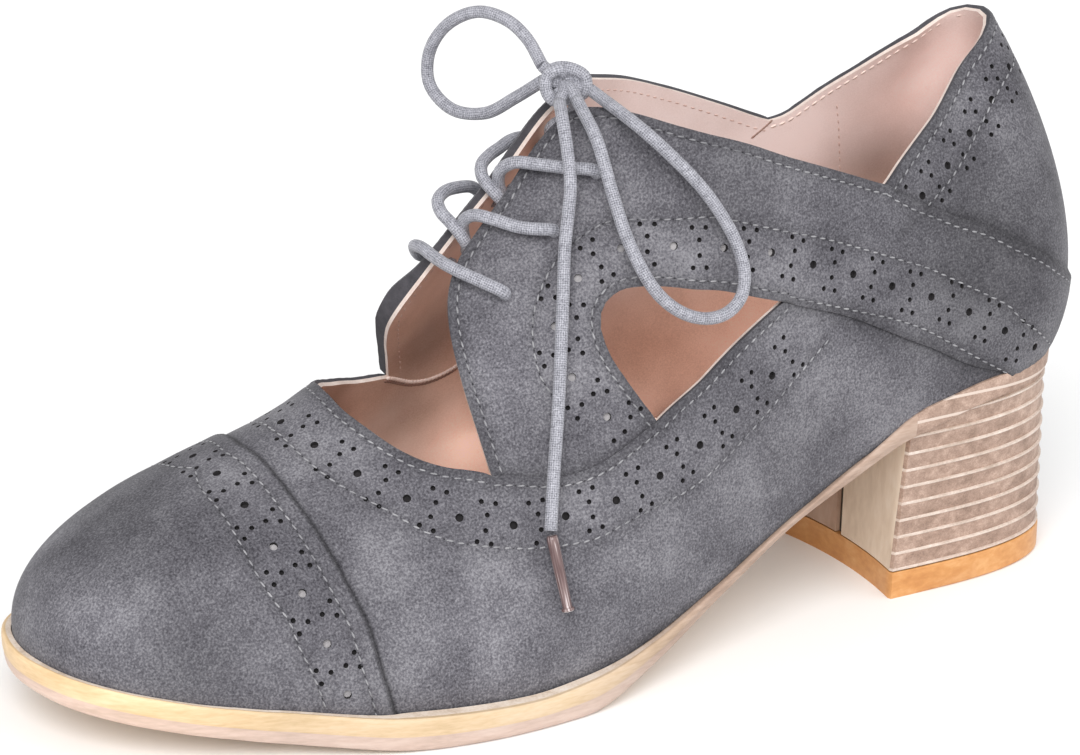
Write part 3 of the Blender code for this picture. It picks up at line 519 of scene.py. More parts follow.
knotTurns = (  # turns round the middle of the bow, from its centre
    ((-0.9, -1.6, -2.2), (1.9, -2.8, -0.6), (3.0, -0.8, 0.9), (2.4, -1.1, 2.3), (0.7, -0.1, 3.1),
     (-1.4, 1.5, 2.8), (-3.0, 2.8, 1.6), (-3.2, 3.2, -0.4), (-2.6, 2.0, -2.4), (-0.9, -1.6, -2.2)),
    ((-1.6, -1.8, -0.8), (1.6, 0.8, 3.0), (3.5, 0.0, 1.8), (4.1, 0.3, -0.5), (3.3, 1.1, -2.5),
     (1.4, 1.7, -3.1), (-0.6, 1.4, -2.4), (-1.6, -1.8, -0.8)),
    ((1.8, -0.4, -0.9), (1.0, -0.7, 1.6), (-1.1, 0.4, 2.3), (-2.4, 1.5, 0.9), (-1.9, 1.6, -1.3),
     (0.2, 0.3, -2.2), (1.8, -0.4, -0.9)),
    ((1.2, -0.9, 0.5), (-0.5, 0.0, 0.6), (-2.3, 1.0, 0.8)),
)
knotWays = {
    "loopNearA": (0.08, 0.95, -0.28),
    "loopNearB": (-0.78, 0.58, -0.22),
    "endNear": (0.55, 0.70, -0.46),
    "loopFarA": (0.33, -0.85, 0.42),
    "loopFarB": (0.16, -0.97, -0.16),
    "endFar": (-0.36, -0.92, -0.14),
}
nearLoop = (
    (2.8, 0.838, 6.0), (2.8, 0.795, 4.9), (2.8, 0.740, 4.2), (2.0, 0.660, 4.0), (-1.0, 0.588, 4.0),
    (-5.0, 0.560, 4.0), (-9.5, 0.552, 4.0), (-14.0, 0.556, 4.0), (-17.5, 0.578, 4.0), (-18.8, 0.618, 4.0),
    (-18.0, 0.668, 4.0), (-15.6, 0.720, 4.1), (-12.4, 0.768, 4.3), (-9.0, 0.816, 4.8), (-5.6, 0.859, 6.0),
)
nearEnd = (
    (6.5, 0.895, 6.2), (7.75, 0.825, 5.1), (8.75, 0.780, 4.7), (10.25, 0.7425, 3.9), (12.25, 0.695, 3.2),
    (14.75, 0.620, 2.7), (19.75, 0.4825, 2.6), (23.5, 0.3825, 2.6), (26.25, 0.306, 2.8),
)
nearAglet = ((26.25, 0.302, 2.8), (25.25, 0.165, 2.4))
farEnd = (
    (-3.0, 0.915, 3.0), (-6.5, 0.872, 2.5), (-7.0, 0.810, 2.3), (-4.0, 0.730, 2.3), (1.0, 0.650, 2.4),
    (6.5, 0.560, 2.5), (12.0, 0.460, 2.6), (16.0, 0.385, 2.6), (18.0, 0.330, 2.8),
)
farAglet = ((18.05, 0.326, 2.8), (18.6, 0.208, 2.4))
farLoop = (
    (6.6, -7.9, 119.4), (8.7, -11.7, 122.3), (12.0, -17.8, 123.1), (15.5, -24.2, 119.3), (17.5, -27.7, 113.0),
    (17.4, -27.5, 106.6), (14.8, -23.2, 102.4), (11.0, -16.4, 102.8), (7.7, -10.4, 107.0),
)


def route(side, rows):
    return [offLast(side, *row) for row in rows]


def knotWay(name):  # the point where a strand comes out of the knot
    way = np.array(knotWays[name])
    way = way / np.linalg.norm(way)
    skinAt = 1.0 / np.linalg.norm(way / np.array(knotShape["radii"]))
    return np.array(knotShape["centre"]) + way * (skinAt + knotShape["gap"])


lace = laceFinish()


def addCordPiece(name, lines, node, radius=laceShape["radius"], finish=lace, tapers=None):
    obj = linkObject(name, cordMesh(name, lines, radius, tapers), [finish])
    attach(obj, "root")
    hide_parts(node)
    return obj


def addLacing():
    step = laceShape["step"]
    down = lambda s, l: ((s - 0.3, l + 0.004, -3.4), (s, l, -1.0))  # up through an eyelet from inside
    bar = route(1, down(*eyelets[0]) + barNear) + list(np.array(barOver))
    bar += route(-1, barFar + down(*eyelets[0])[::-1])
    addCordPiece("laceBar", [spline(bar, step)], "lace_bar")
    for k, name in ((0, "laceCrossLow"), (1, "laceCrossHigh")):
        lines = []
        for side, over, dive in ((1, nearCross[k], nearDive[k]), (-1, farCross[k], farDive[k])):
            path = route(side, down(*eyelets[k + 1]) + over) + list(np.array(dive))
            path += route(-side, ((eyelets[k][0] - 0.8, eyelets[k][1] + 0.055, -4.4),))  # on to the next eyelet
            lines.append(spline(path, step))
        addCordPiece(name, lines, "lace_cross_" + str(k + 1))


def knotLines():
    centre = np.array(knotShape["centre"])
    lines = [spline(centre + np.array(turn), laceShape["knotStep"]) for turn in knotTurns]
    for name in knotWays:  # strands from the middle out to where each one leaves
        out = knotWay(name)
        mid = centre + (out - centre) * np.array((0.35, 0.62, 0.35))
        lines.append(spline((centre + (out - centre) * 0.1, mid, out), laceShape["knotStep"]))
    for side in sides:  # strands that rise from the top eyelets inside the panels
        s, l = eyelets[2]
        rise = route(side, ((s + 0.2, l + 0.02, -3.4), (s + 1.4, l + 0.07, -4.4), (s + 2.8, l + 0.125, -4.0)))
        rise += [centre + np.array((-2.6, 0.8 + 0.9 * side, -5.4)), centre + np.array((-0.8, 0.6 * side, -1.5))]
        lines.append(spline(rise, 0.9))
    return lines


def addBow():
    far = [knotWay("loopFarA")] + [np.array(row) for row in farLoop] + [knotWay("loopFarB")]
    near = [knotWay("loopNearA")] + route(1, nearLoop) + [knotWay("loopNearB")]
    endNear = [knotWay("endNear")] + route(1, nearEnd)
    endFar = [knotWay("endFar")] + route(-1, farEnd)
    made = {}
    for name, node, points in (
        ("laceLoopFar", "lace_loop_far", far),
        ("laceLoopNear", "lace_loop_near", near),
        ("laceEndNear", "lace_end_near", endNear),
        ("laceEndFar", "lace_end_far", endFar),
    ):
        line = spline(points, laceShape["step"])
        made[name] = (addCordPiece(name, [line], node), line)
    addCordPiece("laceKnot", knotLines(), "lace_knot")
    return made


agletShape = {"radius": 1.12, "neck": 0.9, "waist": 0.84, "flare": 1.12, "flareLength": 0.6}
# the wrap's dark streaks, its colour, pale streaks of painted highlight, and the tip
agletLook = {
    "shade": (0.10, 0.055, 0.055), "wrap": (0.20, 0.135, 0.13),
    "gleamStreak": (0.66, 0.58, 0.58), "tip": (0.80, 0.75, 0.74),
}


def agletFinish(length):
    mat, tree, bsdf = newFinish("agletWrap", roughness=0.35, coatWeight=0.3)
    uv = axesOf(tree, "UV")
    stretch = addNode(tree, "ShaderNodeCombineXYZ")  # streaks that run the aglet's length; their pale parts are painted highlights
    tree.links.new(addMath(tree, "MULTIPLY", uv["X"], 0.12), stretch.inputs[0])
    tree.links.new(addMath(tree, "MULTIPLY", uv["Y"], 11.0), stretch.inputs[1])
    gleamStreak = addNode(tree, "ShaderNodeTexNoise", {"Scale": 1.0, "Detail": 2.0})
    tree.links.new(stretch.outputs[0], gleamStreak.inputs["Vector"])
    stops = ((0.40, agletLook["shade"]), (0.55, agletLook["wrap"]), (0.70, agletLook["gleamStreak"]))
    colour = addRamp(tree, gleamStreak.outputs["Fac"], stops)
    atTip = addMath(tree, "GREATER_THAN", uv["X"], length - agletShape["flareLength"])
    tree.links.new(addMix(tree, atTip, colour, agletLook["tip"]), bsdf.inputs["Base Color"])
    addBump(tree, bsdf, gleamStreak.outputs["Fac"], 0.25, 0.0002)
    return mat


def addAglets():
    made, gap = {}, 0.5  # room left between the cord's end and its aglet
    for name, node, side, ends in (
        ("agletNear", "aglet_near", 1, nearAglet),
        ("agletFar", "aglet_far", -1, farAglet),
    ):
        start, stop = route(side, ends)
        length = float(np.linalg.norm(stop - start)) - gap
        share = np.linspace(0.0, 0.12, 4), np.linspace(0.2, 0.92, 10), (0.955, 0.957, 0.99, 1.0)
        share = np.concatenate(share)
        line = stop - (stop - start) * (length / (length + gap)) * (1.0 - share[:, None])
        taper = np.interp(share, (0.0, 0.05, 0.12, 0.92, 0.956, 0.957, 0.99, 1.0),
                          (agletShape["neck"], 1.0, 1.0, agletShape["waist"], agletShape["waist"],
                           agletShape["flare"], agletShape["flare"], agletShape["neck"]))
        finish = agletFinish(length)
        made[name] = addCordPiece(name, [line], node, agletShape["radius"], finish, [taper])
    return made


addLacing()
bow = addBow()
aglets = addAglets()
print("lace laid")

# Pattern of the upper, as stations and shares of the way up
pattern = {
    "throat": ((55.5, 1.0), (54.5, 0.815), (49.5, 0.631), (43.0, 0.525), (34.0, 0.438)),
    "panelFront": (
        (34.0, 0.438), (34.6, 0.52), (35.0, 0.619), (34.5, 0.719), (33.0, 0.788), (30.0, 0.838),
        (25.5, 0.863), (19.5, 0.888), (13.0, 0.925), (8.0, 0.937), (4.6, 0.938),
    ),
    "strapTop": (
        (4.6, 0.938), (1.8, 0.930), (-1.0, 0.918), (-7.0, 0.894), (-15.5, 0.869), (-25.5, 0.850),
        (-36.0, 0.819), (-48.5, 0.781), (-58.0, 0.738),
    ),
    "counterTop": (
        (-58.0, 0.738), (-63.0, 0.781), (-71.5, 0.826), (-81.0, 0.870), (-92.0, 0.915),
        (-104.0, 0.940), (-116.0, 0.945),
    ),
    "panelFoot": ((34.0, 0.438), (22.0, 0.375), (14.0, 0.363), (6.5, 0.374), (0.5, 0.388)),
    "cutFront": (
        (0.5, 0.388), (5.0, 0.450), (8.5, 0.513), (9.2, 0.562), (8.0, 0.583), (5.5, 0.594), (0.0, 0.597),
    ),
    "cutTop": ((0.0, 0.597), (-8.0, 0.600), (-16.5, 0.588), (-30.5, 0.537)),
    "cutRear": ((-30.5, 0.537), (-17.5, 0.481), (-6.5, 0.425), (0.5, 0.388)),
    "strapLow": ((-30.5, 0.537), (-46.0, 0.444), (-65.0, 0.256), (-78.0, 0.105), (-87.0, 0.0)),
    "strapOver": (
        (-58.0, 0.738), (-62.5, 0.686), (-69.75, 0.605), (-79.5, 0.498), (-88.0, 0.410), (-97.5, 0.300),
        (-105.0, 0.235), (-116.0, 0.200),
    ),
    "capEdge": (
        (72.8, 1.0), (72.0, 0.894), (70.5, 0.681), (69.0, 0.562), (67.5, 0.450), (66.0, 0.350), (64.5, 0.263),
        (63.5, 0.156), (62.0, 0.062), (61.0, 0.0),
    ),
}
medialPattern = {  # lines that the far side has for itself; the others are mirrored
    "throat": ((55.5, 1.0), (53.5, 0.83), (48.5, 0.68), (44.0, 0.60), (37.5, 0.51), (29.4, 0.447)),
    "panelFront": (
        (29.4, 0.447), (32.1, 0.525), (34.0, 0.580), (35.6, 0.638), (36.5, 0.690), (36.2, 0.738), (34.4, 0.787),
        (30.8, 0.838), (25.5, 0.863), (19.5, 0.888), (13.0, 0.925), (8.0, 0.937), (4.6, 0.938),
    ),
    "strapTop": (
        (4.6, 0.938), (1.8, 0.934), (-1.0, 0.925), (-7.0, 0.906), (-14.0, 0.887), (-25.5, 0.872),
        (-38.0, 0.843), (-50.0, 0.809), (-58.5, 0.768),
    ),
    "counterTop": (
        (-58.5, 0.768), (-62.0, 0.774), (-66.3, 0.803), (-71.0, 0.836), (-80.0, 0.886), (-92.0, 0.917),
        (-104.0, 0.940), (-116.0, 0.945),
    ),
    "panelFoot": ((29.4, 0.447), (22.0, 0.385), (14.0, 0.363), (6.5, 0.374), (0.5, 0.388)),
    "strapOver": (
        (-58.5, 0.768), (-75.5, 0.565), (-90.5, 0.375), (-97.5, 0.300), (-105.0, 0.235), (-116.0, 0.200),
    ),
}
upperShape = {
    "wall": 2.0, "throatTurn": 1.1, "topTurn": 1.25, "capStep": 0.9, "eyelet": 1.2, "eyeletSides": 18,
    "strapStep": 0.9, "strapRun": 30.0, "panelSink": 0.7, "farRise": 1.0, "farFrom": 0.5, "farRun": 0.25,
    "rolled": 2.0, "rolledReach": 7.0,
    "rolledLine": ((30.2, 0.46), (33.8, 0.57), (35.5, 0.63), (36.4, 0.69), (35.7, 0.75)),
    "roundDepth": 0.42, "roundReach": 0.8, "footShare": 0.8, "capReach": 0.35,
    "grooveDepth": 0.2, "grooveReach": 0.55,
    "borderStep": 1.5, "gridX": 2.2, "gridY": 1.5, "innerGrid": 3.0, "gridRoom": 0.55,
    "seamLanes": (-0.75, 0.0, 0.75), "edgeLanes": (-0.9, -0.4, 0.4, 0.9), "laneStep": 1.5, "laneRoom": 0.28,
}
# Punched holes: the first big hole's distance along each band's middle line, and which floors show the pale
# backing; the other floors and all walls are painted dark as shadow
holeBands = {
    "cap": {
        "first": 5.2, "pitch": 10.3, "pale": range(2, 9), "region": 1,
        "line": (
            (80.4, 1.0), (80.0, 0.913), (79.2, 0.734), (77.8, 0.578), (75.5, 0.416), (73.0, 0.256),
            (70.2, 0.103), (69.4, 0.05),
        ),
    },
    "vamp": {
        "first": 0.0, "pitch": 10.6, "pale": (), "region": 0,
        "line": (
            (64.2, 1.0), (62.2, 0.803), (59.0, 0.678), (53.2, 0.553), (45.5, 0.447), (35.2, 0.359),
            (24.5, 0.318), (13.8, 0.300), (3.5, 0.300), (-6.5, 0.328), (-16.5, 0.366), (-26.0, 0.397),
            (-34.5, 0.441),
        ),
    },
    "strap": {
        "first": 4.4, "pitch": 10.4, "pale": range(0, 8), "region": 2,
        "line": (
            (7.0, 0.400), (11.8, 0.434), (16.0, 0.506), (17.0, 0.594), (11.2, 0.644), (3.2, 0.659),
            (-6.2, 0.669), (-17.5, 0.663), (-28.0, 0.641), (-38.8, 0.588), (-50.2, 0.525), (-60.2, 0.444),
            (-70.5, 0.347), (-80.2, 0.228), (-87.0, 0.138), (-92.0, 0.07),
        ),
    },
    "counter": {
        "first": 4.0, "pitch": 9.2, "pale": (), "region": 0,
        "line": (
            (-63.0, 0.655), (-67.5, 0.666), (-75.8, 0.700), (-83.8, 0.731), (-92.0, 0.784), (-99.5, 0.822),
            (-108.0, 0.845), (-116.0, 0.85),
        ),
    },
}
holeShape = {
    "big": 0.82, "small": 0.52, "bigSides": 10, "smallSides": 7, "depth": 0.95, "turn": 0.3,
    "clear": 0.55, "apart": 0.35, "lowest": 0.02, "step": 0.1, "atMiddle": 0.5,
    "cluster": ((-1.4, 3.9), (1.4, 3.9), (0.0, 1.5), (0.0, -1.5), (-1.4, -3.9), (1.4, -3.9)),
}
# Stitch rows: own lines, or a pattern edge and how far in from it the row runs; finish counts along the threads
stitchStyles = {
    "thread": {"pitch": 2.3, "first": 0.8, "size": (1.5, 0.42, 0.3), "slant": 7.0, "rise": 0.06, "finish": 0},
    # needle: dark beads between the stitches that paint the shade in the needle holes
    "needle": {"pitch": 2.3, "first": 1.95, "size": (0.5, 0.42, 0.2), "slant": 0.0, "rise": 0.0, "finish": 1},
    "inside": {"pitch": 2.0, "first": 0.8, "size": (1.1, 0.34, 0.24), "slant": 5.0, "rise": 0.02, "finish": 2},
    # fold: pale beads that paint the highlight on the lining's fold; under and flap: dark beads that paint shade
    # below the fold and along the flap's edge
    "fold": {"pitch": 0.9, "first": 0.0, "size": (1.5, 1.1, 0.7), "slant": 0.0, "rise": 0.05, "finish": 3},
    "under": {"pitch": 0.9, "first": 0.0, "size": (1.5, 0.8, 0.3), "slant": 0.0, "rise": 0.0, "finish": 4},
    "flap": {"pitch": 0.9, "first": 0.0, "size": (1.5, 0.5, 0.4), "slant": 0.0, "rise": 0.0, "finish": 4},
    "edge": {"pitch": 2.0, "first": 0.8, "size": (1.5, 0.6, 0.36), "slant": 5.0, "rise": 0.02, "finish": 3},
}
stitchRows = {
    "capBand": (
        (92.0, 0.985), (89.5, 0.888), (84.0, 0.70), (83.0, 0.588), (82.0, 0.469), (80.5, 0.388), (78.5, 0.306),
        (77.5, 0.225), (76.0, 0.156), (74.5, 0.081), (73.6, 0.03),
    ),
    "vampLow": (
        (66.4, 1.0), (65.0, 0.788), (61.5, 0.644), (54.0, 0.50), (48.5, 0.419), (40.5, 0.35), (30.0, 0.294),
        (17.5, 0.256), (8.5, 0.256), (1.0, 0.256), (-6.5, 0.263), (-23.5, 0.319), (-41.0, 0.413),
    ),
    "strapUpper": (
        (19.5, 0.48), (21.6, 0.541), (20.6, 0.619), (15.0, 0.685), (7.0, 0.705), (-1.5, 0.706), (-13.0, 0.719),
        (-21.5, 0.706), (-43.5, 0.631), (-61.0, 0.519), (-72.0, 0.40), (-83.0, 0.27), (-88.0, 0.19),
        (-94.0, 0.09), (-98.0, 0.03),
    ),
    "strapLower": (
        (-31.0, 0.548), (-45.0, 0.469), (-60.0, 0.356), (-72.0, 0.213), (-80.0, 0.106), (-86.0, 0.03),
    ),
    "counterBand": (
        (-59.5, 0.60), (-70.5, 0.638), (-81.0, 0.688), (-90.0, 0.769), (-105.5, 0.819), (-116.0, 0.825),
    ),
}
stitchLowest = 0.012  # no stitch is closer to the feather edge, as a share of the way up
stitchRegions = {"capBand": 1, "vampLow": 0, "strapUpper": 2, "strapLower": 2, "counterBand": 0}
stitchEdges = (  # edge, how far in, and the piece of leather that is sewn
    ("capEdge", -3.4, 1), ("throat", -1.9, 0), ("panelFront", -1.9, 2), ("panelFoot", -1.9, 0),
    ("cutRear", 1.7, 0), ("cutTop", 1.7, 2), ("cutFront", 1.8, 2), ("strapTop", -1.9, 2),
    ("strapOver", -2.0, 2), ("counterTop", -2.0, 0),
)
# On the lining: rows under the top edges, the heel's upright seam and the counter's flap, whose edge is a line
# of painted shade
liningEdges = (("panelFront", -3.0, "inside"), ("strapTop", -2.3, "inside"), ("counterTop", -1.4, "edge"))
liningSeam = ((-72.8, 0.755), (-74.5, 0.672), (-75.8, 0.595), (-77.0, 0.522), (-78.2, 0.44))
liningFlap = ((-58.6, 0.765), (-57.0, 0.745), (-54.8, 0.72))


def patternLine(rows, side, step=upperShape["borderStep"]):
    rows = np.array(rows)
    return spline(toPlane(side, rows[:, 0], rows[:, 1]), step)


def edgeLine(name, side):
    return patternLine(medialPattern.get(name, pattern[name]) if side < 0 else pattern[name], side)


def alongSkin(line, step, first=0.0):  # plane points at even distances measured on the skin
    fine = evenly(np.asarray(line), 0.4)
    run = lengths(skinBase(fine))
    at = np.arange(first, run[-1] + 1e-6, step)
    return np.stack([np.interp(at, run, fine[:, k]) for k in range(2)], axis=1)


def skinMetric(p, ahead):  # plane vectors that run one millimetre along the line and one across it
    sx, sy = skinSlopes(p)
    metric = np.stack((np.sum(sx * sx, -1), np.sum(sx * sy, -1), np.sum(sy * sy, -1)), axis=-1)
    gx = metric[:, 0] * ahead[:, 0] + metric[:, 1] * ahead[:, 1]
    gy = metric[:, 1] * ahead[:, 0] + metric[:, 2] * ahead[:, 1]
    side = np.stack((-gy, gx), axis=1)
    span = lambda v: np.linalg.norm(sx * v[:, :1] + sy * v[:, 1:], axis=1)[:, None]
    return ahead / span(ahead), side / span(side)


def offsetLine(line, distance):
    _, across = skinMetric(line, np.gradient(line, axis=0))
    return line + across * distance


def insideLoop(loop, p):
    x, y = p[:, 0], p[:, 1]
    hit = np.zeros(len(p), bool)
    with np.errstate(divide="ignore", invalid="ignore"):
        for (ax, ay), (bx, by) in zip(loop, np.roll(loop, 1, axis=0)):
            crossing = (ay > y) != (by > y)
            hit ^= crossing & (x < (bx - ax) * (y - ay) / (by - ay) + ax)
    return hit


def nearest(points, queries):  # distance from each query to the closest of the points
    tree = KDTree(len(points))
    for i, p in enumerate(points):
        tree.insert((*p, 0.0) if len(p) == 2 else p, i)
    tree.balance()
    return np.array([tree.find((*q, 0.0) if len(q) == 2 else q)[2] for q in queries])


topEdges = ("throat", "panelFront", "strapTop", "counterTop")
cutEdges = ("cutFront", "cutTop", "cutRear")
layerEdges = ("panelFoot", "strapLow", "strapOver", "capEdge")
rimMarks = (pattern["capEdge"][-1][0], pattern["strapLow"][-1][0])  # where cap and strap reach the feather edge
edges = {side: {name: edgeLine(name, side) for name in pattern} for side in sides}
sideRim = np.array([toPlane(1, s, -0.02) for s in np.linspace(rimMarks[1], heelBack, 12)])
strapLoops, openings = [], []
for side in sides:
    e = edges[side]
    strapLoops.append(np.concatenate((
        e["panelFoot"], e["cutRear"][::-1], e["strapLow"], sideRim * (1, side), e["strapOver"][::-1],
        e["strapTop"][::-1], e["panelFront"][::-1])))
    openings.append(np.concatenate([e[name] for name in cutEdges]))
mouth = [np.concatenate([edges[side][name] for name in topEdges]) for side in sides]
openings.append(np.concatenate((mouth[0], mouth[1][::-1])))
capStations, capLevels = zip(*pattern["capEdge"][::-1])


def regionOf(p):  # 0 base, 1 cap, 2 strap
    _, station, level = fromPlane(p)
    region = np.where(station > np.interp(level, capLevels, capStations), 1, 0)
    return np.where(insideLoop(strapLoops[0], p) | insideLoop(strapLoops[1], p), 2, region)


def holeRing(centre, radius, count, start=0.0):
    sx, sy = skinSlopes(centre)
    u = sx / np.linalg.norm(sx)
    v = sy - u * np.dot(sy, u)
    v = v / np.linalg.norm(v)
    basis = np.array(((np.dot(sx, u), np.dot(sy, u)), (0.0, np.dot(sy, v))))
    turn = start + 2.0 * np.pi * np.arange(count) / count
    return centre + np.linalg.solve(basis, radius * np.stack((np.cos(turn), np.sin(turn)))).T


def eyeletRing(side, spot):
    return holeRing(toPlane(side, *spot), upperShape["eyelet"], upperShape["eyeletSides"])


def punchPlan():  # centre, radius, side count, pale floor and region of every punched hole
    plan, step = [], holeShape["step"]
    for band in holeBands.values():
        first, pitch, region = band["first"], band["pitch"], band["region"]
        for side in sides:
            fine = alongSkin(patternLine(band["line"], side, step=0.5), step)
            ahead, across = skinMetric(fine, np.gradient(fine, axis=0))
            for k in range(int((len(fine) * step - first) / pitch) + 1):
                at = first + k * pitch
                i = min(int(at / step), len(fine) - 1)
                if side > 0 or at > holeShape["atMiddle"] and i < len(fine) - 1:  # middle holes only once
                    plan.append((fine[i], holeShape["big"], holeShape["bigSides"], k in band["pale"], region))
                j = int((first + (k + 0.5) * pitch) / step)
                spots = [j] if j < len(fine) else []
                if k == 0 and first > holeShape["atMiddle"]:
                    spots.append(max(int((first - 0.5 * pitch) / step), 0))
                for spot in spots:
                    for a, b in holeShape["cluster"]:
                        centre = fine[spot] + ahead[spot] * a + across[spot] * b
                        plan.append((centre, holeShape["small"], holeShape["smallSides"], False, region))
    border = np.concatenate([skinBase(alongSkin(edges[s][n], 0.5)) for s in sides for n in pattern])
    centres = np.array([hole[0] for hole in plan])
    room, regions, levels = nearest(border, skinBase(centres)), regionOf(centres), fromPlane(centres)[2]
    kept, places = [], []
    for hole, gap, found, level in zip(plan, room, regions, levels):
        centre, radius, _, _, region = hole
        spot = skinBase(centre)
        if gap < radius + holeShape["clear"] or level < holeShape["lowest"] or found != region:
            continue
        if any(np.linalg.norm(spot - q) < radius + r + holeShape["apart"] for q, r in places):
            continue
        if any(insideLoop(loop, centre[None])[0] for loop in openings):
            continue
        kept.append(hole)
        places.append((spot, radius))
    return kept


def stitchLines():
    lines = []
    for side in sides:
        lines += [(patternLine(rows, side, step=0.8), stitchRegions[name]) for name, rows in stitchRows.items()]
        lines += [(offsetLine(edges[side][name], inset * side), region) for name, inset, region in stitchEdges]
    return lines


# Painted shade on the suede: dark bands along edges, seams, the cap's step and the feather edge, and broad
# patches of painted shade and light
suedePaintedShading = {
    "edge": 0.5, "edgeReach": 1.5, "seam": 0.35, "seamReach": 0.8, "cap": 1.4, "capReach": 0.6,
    "feather": 0.7, "featherReach": 0.9,
    "patches": (  # station, share of the way up, size and strength of painted shade; the pale ones, painted light, are negative
        (106.5, 0.66, 14.0, 0.28), (107.0, 0.315, 11.0, -0.22), (93.0, 0.15, 10.0, 0.3),
        (43.0, 0.18, 14.0, -0.2), (-33.5, 0.175, 12.0, 0.15), (-21.5, 0.785, 12.0, 0.25),
        (-80.5, 0.38, 20.0, 0.7), (-89.0, 0.575, 16.0, 0.12), (27.0, 0.585, 12.0, -0.24),
    ),
}
liningShade = {  # where the lining turns paler going back and up, and its patches of painted light and painted shade
    "from": 8.0, "run": 24.0, "low": 0.3, "rise": 0.3,
    "patches": (
        (-85.0, 0.44, 18.0, 0.25), (-68.0, 0.68, 12.0, -0.12), (-42.0, 0.77, 16.0, 0.18),
        (22.5, 0.33, 8.0, 0.55), (4.5, 0.12, 14.0, -0.4), (21.0, 0.47, 9.0, 0.85), (15.0, 0.36, 7.0, -0.25),
        (35.5, 0.415, 6.0, -0.2), (-36.0, 0.16, 20.0, -0.42), (-62.0, 0.12, 16.0, -0.35),
        (6.5, 0.20, 8.0, -0.45), (-102.0, 0.80, 12.0, -0.35), (-90.0, 0.66, 11.0, -0.45),
        (-85.0, 0.46, 9.0, 0.45),
    ),
}
holes = punchPlan()
seams = stitchLines()
print("upper pattern:", len(holes), "holes and", len(seams), "stitch rows")


def keyFor(p):
    return (round(float(p[0]), 3), round(float(p[1]), 3))


def layout(gridX, gridY, detail):
    # Flat points and fixed edges of the upper, then its triangles with what lies in the openings left out
    points, index, fixed = [], {}, []

    def add(p):
        key = keyFor(p)
        if key not in index:
            index[key] = len(points)
            points.append(key)
        return index[key]

    def chain(line, closed=False):
        ids = [add(p) for p in line]
        pairs = list(zip(ids, ids[1:] + ids[:1])) if closed else list(zip(ids[:-1], ids[1:]))
        fixed.extend(p for p in pairs if p[0] != p[1])

    rim = [(heelBack, heelPole, 21), (heelPole, toePole, 85), (toePole, toeTip, 29)]
    rim = np.unique(np.concatenate([np.linspace(*run) for run in rim] + [rimMarks]))
    rim = [s for s in rim if s in rimMarks or min(abs(s - mark) for mark in rimMarks) > 0.6]
    eyeletRings = []
    for side in sides:
        chain([toPlane(side, s, 0.0) for s in rim])
        for name in topEdges + cutEdges:
            chain(edges[side][name])
        for s, l in eyelets:
            ring = eyeletRing(side, (s, l))
            chain(ring, closed=True)
            eyeletRings.append(ring)
        if detail:
            for name in layerEdges:
                chain(edges[side][name])
    rings, loose = [], []
    if detail:
        for centre, radius, count, *_ in holes:
            ring = holeRing(centre, radius, count, holeShape["turn"])
            chain(ring, closed=True)
            rings.append(ring)
        loose = [offsetLine(line, d) for line, _ in seams for d in upperShape["seamLanes"]]
        for side in sides:
            loose += [offsetLine(edges[side][n], d) for n in pattern for d in upperShape["edgeLanes"]]
        loose = np.concatenate([alongSkin(line, upperShape["laneStep"]) for line in loose])
        loose = loose[nearest(np.array(points), loose) > upperShape["laneRoom"]]
    for p in loose:
        if np.hypot(p[0] - np.clip(p[0], heelPole, toePole), p[1]) < planeHalf - 0.3:
            add(p)
    xs = np.arange(heelPole - planeHalf, toePole + planeHalf, gridX)
    ys = np.arange(-int(planeHalf / gridY), int(planeHalf / gridY) + 1) * gridY
    grid = np.array([(x + (0.5 * gridX if j % 2 else 0.0), y) for j, y in enumerate(ys) for x in xs])
    grid = grid[np.hypot(grid[:, 0] - np.clip(grid[:, 0], heelPole, toePole), grid[:, 1]) < planeHalf - 0.8]
    grid = grid[nearest(np.array(points), grid) > upperShape["gridRoom"] * min(gridX, gridY)]
    for p in grid:
        add(p)
    flat, _, tris, _, _, _ = delaunay_2d_cdt(points, fixed, [], 0, 1e-5)
    flat = np.array([(p[0], p[1]) for p in flat])
    tris = np.array([t for t in tris if len(t) == 3])
    a, b, c = flat[tris[:, 0]], flat[tris[:, 1]], flat[tris[:, 2]]
    area = (b[:, 0] - a[:, 0]) * (c[:, 1] - a[:, 1]) - (c[:, 0] - a[:, 0]) * (b[:, 1] - a[:, 1])
    tris[area < 0] = tris[area < 0][:, ::-1]
    mid = (a + b + c) / 3.0
    drop = np.abs(area) < 1e-6
    for loop in openings + eyeletRings:
        drop |= insideLoop(loop, mid)
    for ring in rings:
        near = np.where(np.max(np.abs(mid - ring.mean(0)), axis=1) < 3.0)[0]
        drop[near] |= insideLoop(ring, mid[near])
    return flat, tris[~drop], regionOf(mid[~drop]), rings


def fall(distance, span):
    return (1.0 - np.clip(distance / span, 0.0, 1.0)) ** 2


def edgePoints(*names):
    return np.concatenate([skinBase(alongSkin(edges[s][n], 0.4)) for s in sides for n in names])


seamPoints = np.concatenate([skinBase(alongSkin(line, 0.4)) for line, _ in seams])


# Broad round patches on both sides: positive ones paint shade, negative ones paint light
def patches(place, rows):
    dark = np.zeros(len(place))
    for station, level, size, amount in rows:
        for side in sides:
            gap = np.linalg.norm(place - offLast(side, station, level, 0.0), axis=1)
            dark = dark + amount * np.exp(-(gap / size) ** 2)
    return dark


